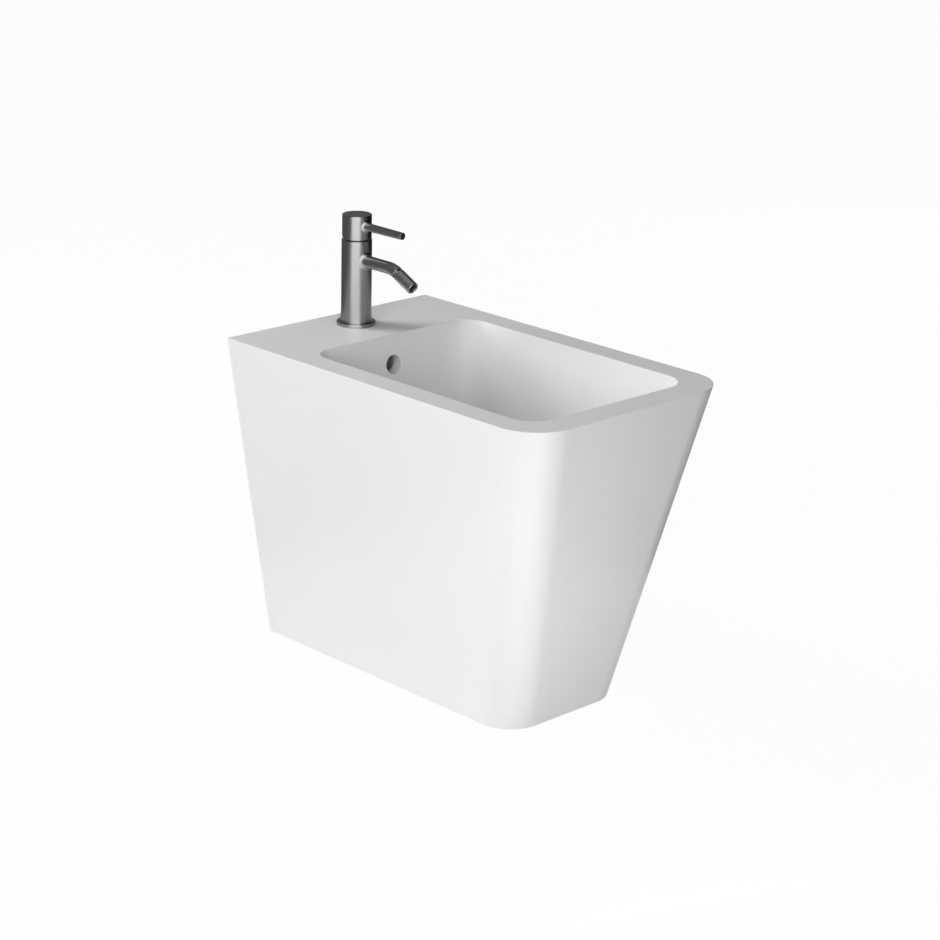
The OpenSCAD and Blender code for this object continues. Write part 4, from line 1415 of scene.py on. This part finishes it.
        self.keep(cut(mesh, tools, COLUMN_STEEL), "mixer_column", "tap_body", Slot.SATIN_STEEL, smooth=35.0)

    def spout(self) -> None:
        """Round spout: straight out of the column, then bent down towards the nozzle."""
        path, overrun, steps, height = bmesh.new(), 0.5 * MM, 24, self.spout_height
        points = [Vector((0.0, y, height)) for y in (self.spout_start + overrun, self.bend_y + 12 * MM)]
        for turn in (self.fall * step / steps for step in range(steps + 1)):
            points.append(Vector((0.0, self.bend_y - self.bend_radius * math.sin(turn),
                                  height - self.bend_radius * (1 - math.cos(turn)))))
        points[-1] += self.outward() * overrun
        verts = [path.verts.new(point) for point in points]
        for ends in zip(verts, verts[1:]):
            path.edges.new(ends)
        mesh = bpy.data.meshes.new("spout_path")
        path.to_mesh(mesh)
        path.free()
        mesh = self.tube.run(mesh, SPOUT_STEEL, {
            "Outer radius": self.spout_radius, "Bore radius": self.spout_bore, "Overrun": overrun,
            "Sides": 72})
        mesh = painted(meshed(opened(mesh)), SPOUT_STEEL)
        sharp = 1.0
        ease(mesh, 0.35 * MM, lambda edge: edge.calc_face_angle(0.0) > sharp)
        self.keep(mesh, "mixer_spout", "spout_tube", Slot.SATIN_STEEL)

    def nozzle(self) -> None:
        """Swivel nozzle with its aerator: turned shell, housing and a honeycomb plate."""
        where, inner, outer = place_on(self.ball, self.outward()), 7 * MM, self.spout_radius
        bowl = [(self.socket * math.cos(turn), -self.socket * math.sin(turn))
                for turn in map(math.radians, (0, 8, 15, 22))]
        outline = [*bowl, (5.99 * MM, self.lip), (outer - 1.2 * MM, self.lip, 0.25 * MM),
                   (outer, self.lip + 1.2 * MM, 0.3 * MM), (outer, self.tip - 0.6 * MM, 0.3 * MM),
                   (outer - 0.6 * MM, self.tip, 0.2 * MM), (inner, self.tip, 0.1 * MM), (inner, 0.0)]
        mesh = painted(turned(outline, where, edge=0.0), NOZZLE_STEEL)
        self.keep(mesh, "nozzle_shell", "nozzle_body", Slot.SATIN_STEEL, Body.NOZZLE)
        low, high, wide, bore, web = 6.7 * MM, self.tip - MM, 6.95 * MM, 5.9 * MM, 4.2 * MM
        outline = [(web, low), (wide, low), (wide, high, 0.3 * MM), (bore, high, 0.3 * MM),
                   (bore, low + 1.5 * MM), (web, low + 1.5 * MM)]
        mesh = painted(turned(outline, where, edge=0.1 * MM, sides=72), CHROME)
        self.keep(mesh, "aerator_sleeve", "aerator_housing", Slot.CHROME, Body.NOZZLE)
        inner, outer, deep = 4.85 * MM, 5.85 * MM, 6 * MM
        rim = turned([(inner, -deep), (outer, -deep), (outer, 0.0), (inner, 0.0)], edge=0.15 * MM,
                     sides=48, steps=2)
        mesh = self.honeycomb.run(rim, DARK_PLASTIC, {"Plate radius": 4.75 * MM, "Cell": 1.15 * MM,
                                                      "Web": 0.2 * MM, "Depth": 1.5 * MM, "Foot": -0.75 * MM})
        mesh.transform(where @ at(0.0, 0.0, self.tip - 2.6 * MM))
        self.keep(mesh, "aerator_honeycomb", "aerator_insert", Slot.DARK_PLASTIC, Body.NOZZLE)

    def handle_cap(self) -> None:
        """Handle cap with the stem's socket, cut back below at the rear."""
        outer, height, low = self.cap_radius, self.cap_height, self.cap_low
        inner, roof, hub, key = outer - self.cap_wall, height - 3.6 * MM, (6.6 * MM, 13.5 * MM), self.key
        outline = [(inner, 0.0), (outer, 0.0, 0.25 * MM), (outer, height, MM), (0.0, height),
                   (0.0, hub[1]), hub, (hub[0], roof), (inner, roof)]
        mesh = painted(turned(outline, self.upright(low), edge=0.2 * MM, sides=128, steps=5), COLUMN_STEEL)
        boss = self.boss(self.lever_height, outer, self.lever_root, grow=3.6 * MM)
        mesh = cut(mesh, [boss], COLUMN_STEEL, Meeting.ADD)
        reach = 30 * MM
        relief = block((-reach, -reach, -reach), (reach, reach, 0.0))
        relief.transform(at(0.0, self.axis_y + self.cap_hinge, low) @ Matrix.Rotation(self.lift, 4, "X"))
        pin, root = ((0.0, y, self.lever_height) for y in (self.axis_y, self.axis_y - outer + MM))
        tools = [block((-key[0], self.axis_y - key[1], low),
                       (key[0], self.axis_y + key[1], low + height - 7 * MM)),
                 Bore(self.lever_pin + 0.05 * MM, 40 * MM, pin, sides=48, along=FORWARD).cutter(),
                 Bore(self.lever_root + 0.03 * MM, 20 * MM, root, sides=96, along=FORWARD).cutter(), relief]
        mesh = cut(mesh, tools, COLUMN_STEEL)
        self.dress_top(mesh, low + height)
        self.keep(mesh, "handle_cap_shell", "handle_cap", Slot.SATIN_STEEL, Body.LEVER, smooth=35.0)

    def lever(self) -> None:
        """Slim tapered lever with the pin that sits in the cap."""
        root, reach, pin = self.cap_radius - MM, self.lever_reach, self.lever_pin
        outline = [(0.0, 3 * MM), (pin, 3 * MM), (pin, root), (self.lever_root, root),
                   (self.lever_tip, reach, 0.45 * MM), (0.0, reach)]
        where = place_on((0.0, self.axis_y, self.lever_height), FORWARD)
        mesh = turned(outline, where, edge=0.15 * MM, steps=6)
        self.keep(painted(mesh, LEVER_STEEL), "lever_rod", "lever_pin", Slot.SATIN_STEEL, Body.LEVER)

    def stud(self) -> None:
        """Threaded stud that holds the mixer on the ledge."""
        core, length = self.stud_core, self.stud_length
        mesh = turned([(0.0, 0.0), (core, 0.0), (core, length), (0.0, length)], edge=0.4 * MM, sides=32,
                      steps=2)
        mesh = self.thread.run(mesh, ZINC, {"Radius": core, "Pitch": 1.25 * MM, "Turns": 52.0,
                                            "Foot": 1.6 * MM, "Ridge": 0.5 * MM})
        mesh.transform(at(0.0, self.stud_y, self.stud_low))
        self.keep(mesh, "mixer_stud", "fixing_stud", Slot.ZINC_STEEL)

    def build(self) -> None:
        """Builds the whole mixer."""
        for make in (self.base_ring, self.column, self.spout, self.handle_cap, self.lever, self.nozzle,
                     self.stud):
            make()


@dataclass
class Waste(Assembly):
    """Push plug waste: flanged threaded body and plug cap."""

    thread: Recipe
    y: float = 30 * MM
    flange_low: float = 269 * MM
    flange_top: float = 271.6 * MM
    flange_radius: float = 31.5 * MM
    tube_radius: float = 20.95 * MM
    bore: float = 18 * MM
    low: float = 196 * MM
    slot_x: float = 19 * MM
    slot_half: tuple[float, float] = (4 * MM, 9 * MM)
    slot_low: float = 247 * MM
    slot_top: float = 256 * MM
    recess_radius: float = 25.4 * MM
    recess_foot: float = 25 * MM
    recess_depth: float = 1.5 * MM
    thread_top: float = 236 * MM
    thread_depth: float = 0.75 * MM
    spoke_half: float = 1.5 * MM
    bridge_low: float = 238 * MM
    bridge_top: float = 243 * MM
    hub_radius: float = 8 * MM
    plug_low: float = 280.3 * MM
    plug_radius: float = 31 * MM
    crown: float = 0.35 * MM

    def body(self) -> None:
        """Flange and threaded tube with the overflow slots and the guide's bridge."""
        core, low, high = self.tube_radius - self.thread_depth, self.bridge_low, self.bridge_top
        top, recess = self.flange_top, self.flange_top - self.recess_depth
        outline = [(self.bore, self.low), (core, self.low, 0.5 * MM), (core, self.thread_top),
                   (self.tube_radius, self.thread_top + MM), (self.tube_radius, self.flange_low),
                   (self.flange_radius, self.flange_low), (self.flange_radius, top, 1.2 * MM),
                   (self.recess_radius, top, 0.5 * MM), (self.recess_foot, recess),
                   (self.bore, recess, 0.8 * MM)]
        mesh = painted(turned(outline, edge=0.2 * MM, steps=4), CHROME)
        half_x, half_y = self.slot_half
        slots = [block((side * self.slot_x - half_x, -half_y, self.slot_low),
                       (side * self.slot_x + half_x, half_y, self.slot_top)) for side in (-1, 1)]
        mesh = cut(mesh, slots, CHROME)
        inner, outer = 5 * MM, self.hub_radius
        parts = [turned([(inner, low), (outer, low), (outer, high), (inner, high)], edge=0.4 * MM, sides=48,
                        steps=2)]
        for turn in (45, 135, 225, 315):
            spoke = block((outer - 0.5 * MM, -self.spoke_half, low),
                          (self.bore + 0.3 * MM, self.spoke_half, high))
            spoke.transform(Matrix.Rotation(math.radians(turn), 4, "Z"))
            parts.append(ease(spoke, 0.4 * MM, lambda edge: True, 2))
        mesh = cut(mesh, parts, CHROME, Meeting.ADD)
        mesh = self.thread.run(mesh, CHROME, {"Radius": core, "Pitch": 2.3 * MM, "Turns": 15.0,
                                              "Foot": self.low + 2 * MM, "Ridge": 0.72 * MM})
        mesh.transform(at(0.0, self.y, 0.0))
        self.keep(mesh, "waste_flange_body", "waste_body", Slot.CHROME)

    def plug(self) -> None:
        """Round plug cap, slightly crowned, with hub and skirt."""
        skirt, inner, top, edge = 16.4 * MM, 14.2 * MM, 3.2 * MM, self.plug_radius
        crown = [(edge * share, top - self.crown * share ** 2) for share in (0.92, 0.8, 0.6, 0.4, 0.2)]
        outline = [(0.0, MM), (3 * MM, MM), (3 * MM, -5.5 * MM), (6 * MM, -5.5 * MM), (6 * MM, 0.0),
                   (inner, 0.0), (inner, -5 * MM), (skirt, -5 * MM), (skirt, 0.0), (edge, 0.0, 1.3 * MM),
                   (edge, top - self.crown, 1.3 * MM), *crown, (0.0, top)]
        mesh = turned(outline, at(0.0, self.y, self.plug_low), edge=0.25 * MM, steps=4)
        self.keep(painted(mesh, CHROME), "plug_button", "plug_cap", Slot.CHROME, Body.PLUG)

    def build(self) -> None:
        """Builds the waste."""
        self.body()
        self.plug()


@dataclass
class Drain(Assembly):
    """Bottle trap parts with grip ribs: the screwed cup and the two compression nuts."""

    ribs: Recipe
    y: float = 30 * MM
    cup_low: float = 44.5 * MM
    cup_top: float = 102 * MM
    cup_radius: float = 32.5 * MM
    thread_radius: float = 28.6 * MM
    wall: float = 2.5 * MM
    seat: float = 90 * MM
    shoulder: float = 87 * MM
    tube_radius: float = 16 * MM
    nut_radius: float = 24.5 * MM
    nut_height: float = 14 * MM
    seal_space: float = 5.55 * MM
    rib_sunk: float = 0.2 * MM
    rib_margin: float = 1.2 * MM
    inlet_nut_low: float = 151 * MM
    outlet_nut_y: float = 66 * MM
    outlet_height: float = 125 * MM

    def ribbed(self, base: bpy.types.Mesh, ribs: dict[str, float], where: Matrix, name: str,
               node: str) -> None:
        """Grows grip ribs on a turned piece and hands it over.

        Args:
            base: the turned piece about the Z axis.
            ribs: sizes of the ribs.
            where: frame that the piece is moved to.
            name: name of the piece.
            node: construction node that it stands for.
        """
        mesh = self.ribs.run(base, WHITE_PLASTIC, ribs)
        mesh.transform(where)
        self.keep(mesh, name, node, Slot.WHITE_PLASTIC)

    def cup(self) -> None:
        """Cup of the bottle trap."""
        outer, low, high, thread = self.cup_radius, self.cup_low, self.cup_top, self.thread_radius
        inner, neck = outer - self.wall, thread - self.wall
        outline = [(0.0, low), (outer, low, 3 * MM), (outer, high, MM), (thread + 0.05 * MM, high),
                   (thread + 0.05 * MM, self.seat), (neck, self.seat), (neck, self.shoulder),
                   (inner, self.shoulder), (inner, low + self.wall, 2 * MM), (0.0, low + self.wall)]
        ribs = {"Count": 30, "Radius": outer - self.rib_sunk, "Rib radius": 1.4 * MM, "Rib height": 40 * MM,
                "Foot": low + 14 * MM}
        self.ribbed(turned(outline, steps=4), ribs, at(0.0, self.y, 0.0), "trap_bottle_cup", "trap_cup")

    def nut(self, name: str, node: str, where: Matrix) -> None:
        """One compression nut, from its open end.

        Args:
            name: name of the piece.
            node: construction node that it stands for.
            where: frame of the open end.
        """
        outer, high, hole = self.nut_radius, self.nut_height, self.tube_radius + 0.3 * MM
        inner, floor = self.tube_radius + self.seal_space, self.nut_height - 3 * MM
        outline = [(inner, 0.0), (outer, 0.0, 0.6 * MM), (outer, high, 1.2 * MM), (hole, high), (hole, floor),
                   (inner, floor)]
        ribs = {"Count": 24, "Radius": outer - self.rib_sunk, "Rib radius": 1.5 * MM,
                "Rib height": high - 2 * self.rib_margin, "Foot": self.rib_margin}
        self.ribbed(turned(outline), ribs, where, name, node)

    def build(self) -> None:
        """Builds the ribbed parts."""
        self.cup()
        outlet = (0.0, self.outlet_nut_y, self.outlet_height)
        self.nut("trap_inlet_nut", "trap_nut", at(0.0, self.y, self.inlet_nut_low))
        self.nut("trap_outlet_nut", "outlet_nut", place_on(outlet, BACKWARD))


@dataclass
class CarriedOver(Assembly):
    """Construction nodes that keep their shape and get the finish of their slot."""

    own: dict[str, Finish] = field(default_factory=dict)

    def build(self) -> None:
        """Dresses every node, also those that a piece stands for."""
        slots = {part["node"]: part["material_slot"] for part in frame["record"]["subparts"]}
        for name, node in frame["nodes"].items():
            finish = self.own.get(name, SLOT_FINISH[Slot(slots[name])])
            if not node.material_slots:
                node.data.materials.append(finish.material())
            for place in node.material_slots:
                place.material = finish.material()
            LOG.info("%s: finish %s", name, finish.name)


# ---------------------------------------------------------------- studio


def heading(degrees: float) -> Vector:
    """The level direction at a bearing: 0 is the object's left (-X), 90 its front (-Y)."""
    turn = math.radians(degrees)
    return Vector((-math.cos(turn), -math.sin(turn), 0.0))


@dataclass(frozen=True)
class Softbox:
    """A square lamp that looks at the object; metal reflects the cards instead of it.

    Attributes:
        name: the lamp's name.
        bearing: its bearing in degrees.
        height: its angle above the floor, in degrees.
        size: its side, in metres.
        power: its power, in watts.
        reach: its distance, in metres.
        aim: the point that it looks at.
    """

    name: str
    bearing: float
    height: float
    size: float
    power: float
    reach: float = 3.0
    aim: Triple = (0.0, 0.0, 0.3)

    def build(self) -> None:
        """Hangs the lamp."""
        lamp = bpy.data.lights.new(self.name, "AREA")
        lamp.shape, lamp.size, lamp.energy = "SQUARE", self.size, self.power
        thing = bpy.data.objects.new(self.name, lamp)
        bpy.context.scene.collection.objects.link(thing)
        rise = math.radians(self.height)
        away = heading(self.bearing) * math.cos(rise) + Vector((0.0, 0.0, math.sin(rise)))
        thing.location = Vector(self.aim) + away * self.reach
        thing.rotation_euler = (-away).to_track_quat("-Z", "Y").to_euler()
        thing.visible_glossy = thing.visible_camera = False


@dataclass(frozen=True)
class Flag:
    """A curved card round the object that only reflections see, so that metal has dark and light sides.

    Attributes:
        name: the card's name.
        start: bearing at which it starts, in degrees.
        end: bearing at which it ends.
        tone: its light, from 0 for black over 1 for white to more for a lit card.
        profile: (distance, height) points from its foot to its top, in metres.
    """

    name: str
    start: float
    end: float
    tone: float
    profile: tuple[Point, ...] = ((0.45, 0.004), (1.15, 0.004), (1.35, 0.2), (1.35, 1.5), (0.8, 2.4))

    def build(self) -> None:
        """Stands the card up."""
        shape, rows, steps = bmesh.new(), [], 24
        for step in range(steps + 1):
            side = heading(self.start + (self.end - self.start) * step / steps)
            rows.append([shape.verts.new(side * away + Vector((0.0, 0.0, height)))
                         for away, height in self.profile])
        for row, after in zip(rows, rows[1:]):
            for place in range(len(row) - 1):
                shape.faces.new((row[place], row[place + 1], after[place + 1], after[place]))
        finish = Glow(self.name, self.tone)
        finish.material().cycles.emission_sampling = "NONE"
        card = solid_object(painted(meshed(shape), finish), self.name)
        card.visible_camera = card.visible_diffuse = card.visible_shadow = False
        card.visible_transmission = card.visible_volume_scatter = False


@dataclass
class Studio:
    """Camera, lamps, pale surroundings and floor."""

    camera_place: Triple = (-2.18512416, -2.22383378, 1.31628087)
    camera_right: Triple = (0.71892, -0.6947, 0.02278)
    camera_up: Triple = (0.20458, 0.24281, 0.94825)
    camera_back: Triple = (-0.66430, -0.67706, 0.31668)
    lens: float = 99.5496
    sensor: float = 36.0
    sight: tuple[float, float] = (0.05, 100.0)
    ambient: float = 0.2
    floor_radius: float = 40.0
    lamps: tuple[Softbox, ...] = (
        Softbox("key_lamp", 25.0, 17.0, 1.1, 36.0),
        Softbox("side_lamp", -60.0, 17.0, 1.1, 33.0),
        Softbox("rear_lamp", -60.0, 50.0, 1.1, 26.5),
        Softbox("right_lamp", 190.0, 5.0, 1.1, 20.0),
        Softbox("front_lamp", 90.0, 50.0, 1.1, 6.5),
        Softbox("low_lamp", 68.0, -15.0, 0.35, 0.95, 0.57, (-0.05, -0.15, 0.25)),
    )
    flags: tuple[Flag, ...] = (
        Flag("left_flag", -155.0, -3.0, 0.12),
        Flag("key_card", -3.0, 42.0, 1.5),
        Flag("key_edge_card", 42.0, 74.0, 1.9),
        Flag("right_flag", 74.0, 205.0, 0.0),
        Flag("top_flag", 0.0, 360.0, 0.3, ((0.8, 2.4), (0.0, 2.4))),
    )

    def camera(self) -> None:
        """Stands the camera where the photograph was taken."""
        data = bpy.data.cameras.new("camera")
        data.sensor_width, data.lens = self.sensor, self.lens
        data.clip_start, data.clip_end = self.sight
        camera = bpy.data.objects.new("camera", data)
        bpy.context.scene.collection.objects.link(camera)
        axes = Matrix((self.camera_right, self.camera_up, self.camera_back)).transposed().to_quaternion()
        camera.matrix_world = Matrix.Translation(self.camera_place) @ axes.to_matrix().to_4x4()
        bpy.context.scene.camera = camera

    def world(self) -> None:
        """White surroundings for the camera, metal and glass, and a plain level of light for the rest."""
        world = bpy.data.worlds.new("studio_world")
        bpy.context.scene.world = world
        graph = Graph(world)
        strength = graph.seen() * (1.0 - self.ambient) + self.ambient
        graph.close({"Color": WHITE, "Strength": strength}, "ShaderNodeBackground", "ShaderNodeOutputWorld")

    def floor(self) -> None:
        """A pale floor that keeps a faint shadow and otherwise melts into the surroundings."""
        shape = bmesh.new()
        bmesh.ops.create_circle(shape, cap_ends=True, segments=64, radius=self.floor_radius)
        solid_object(painted(meshed(shape), PaleFloor("studio_floor")), "studio_floor")

    def build(self) -> None:
        """Sets up the studio."""
        bpy.context.scene.view_settings.view_transform = "Standard"
        self.camera()
        self.world()
        self.floor()
        for piece in (*self.lamps, *self.flags):
            piece.build()


def main() -> None:
    """Builds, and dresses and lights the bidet."""
    logging.basicConfig(level=logging.INFO, format="%(name)s %(message)s", force=True)
    thread = thread_recipe()
    Studio().build()
    CeramicBody().build()
    Mixer(tube_recipe(), honeycomb_recipe(), thread).build()
    Waste(thread).build()
    Drain(rib_recipe()).build()
    # The cartridge nut gets the dark metal that paints the shade in the seam under the handle cap.
    CarriedOver({"ball_stud": CHROME, "cartridge_nut": SEAM_SHADE_NUT_METAL}).build()


if __name__ == "__main__":
    main()
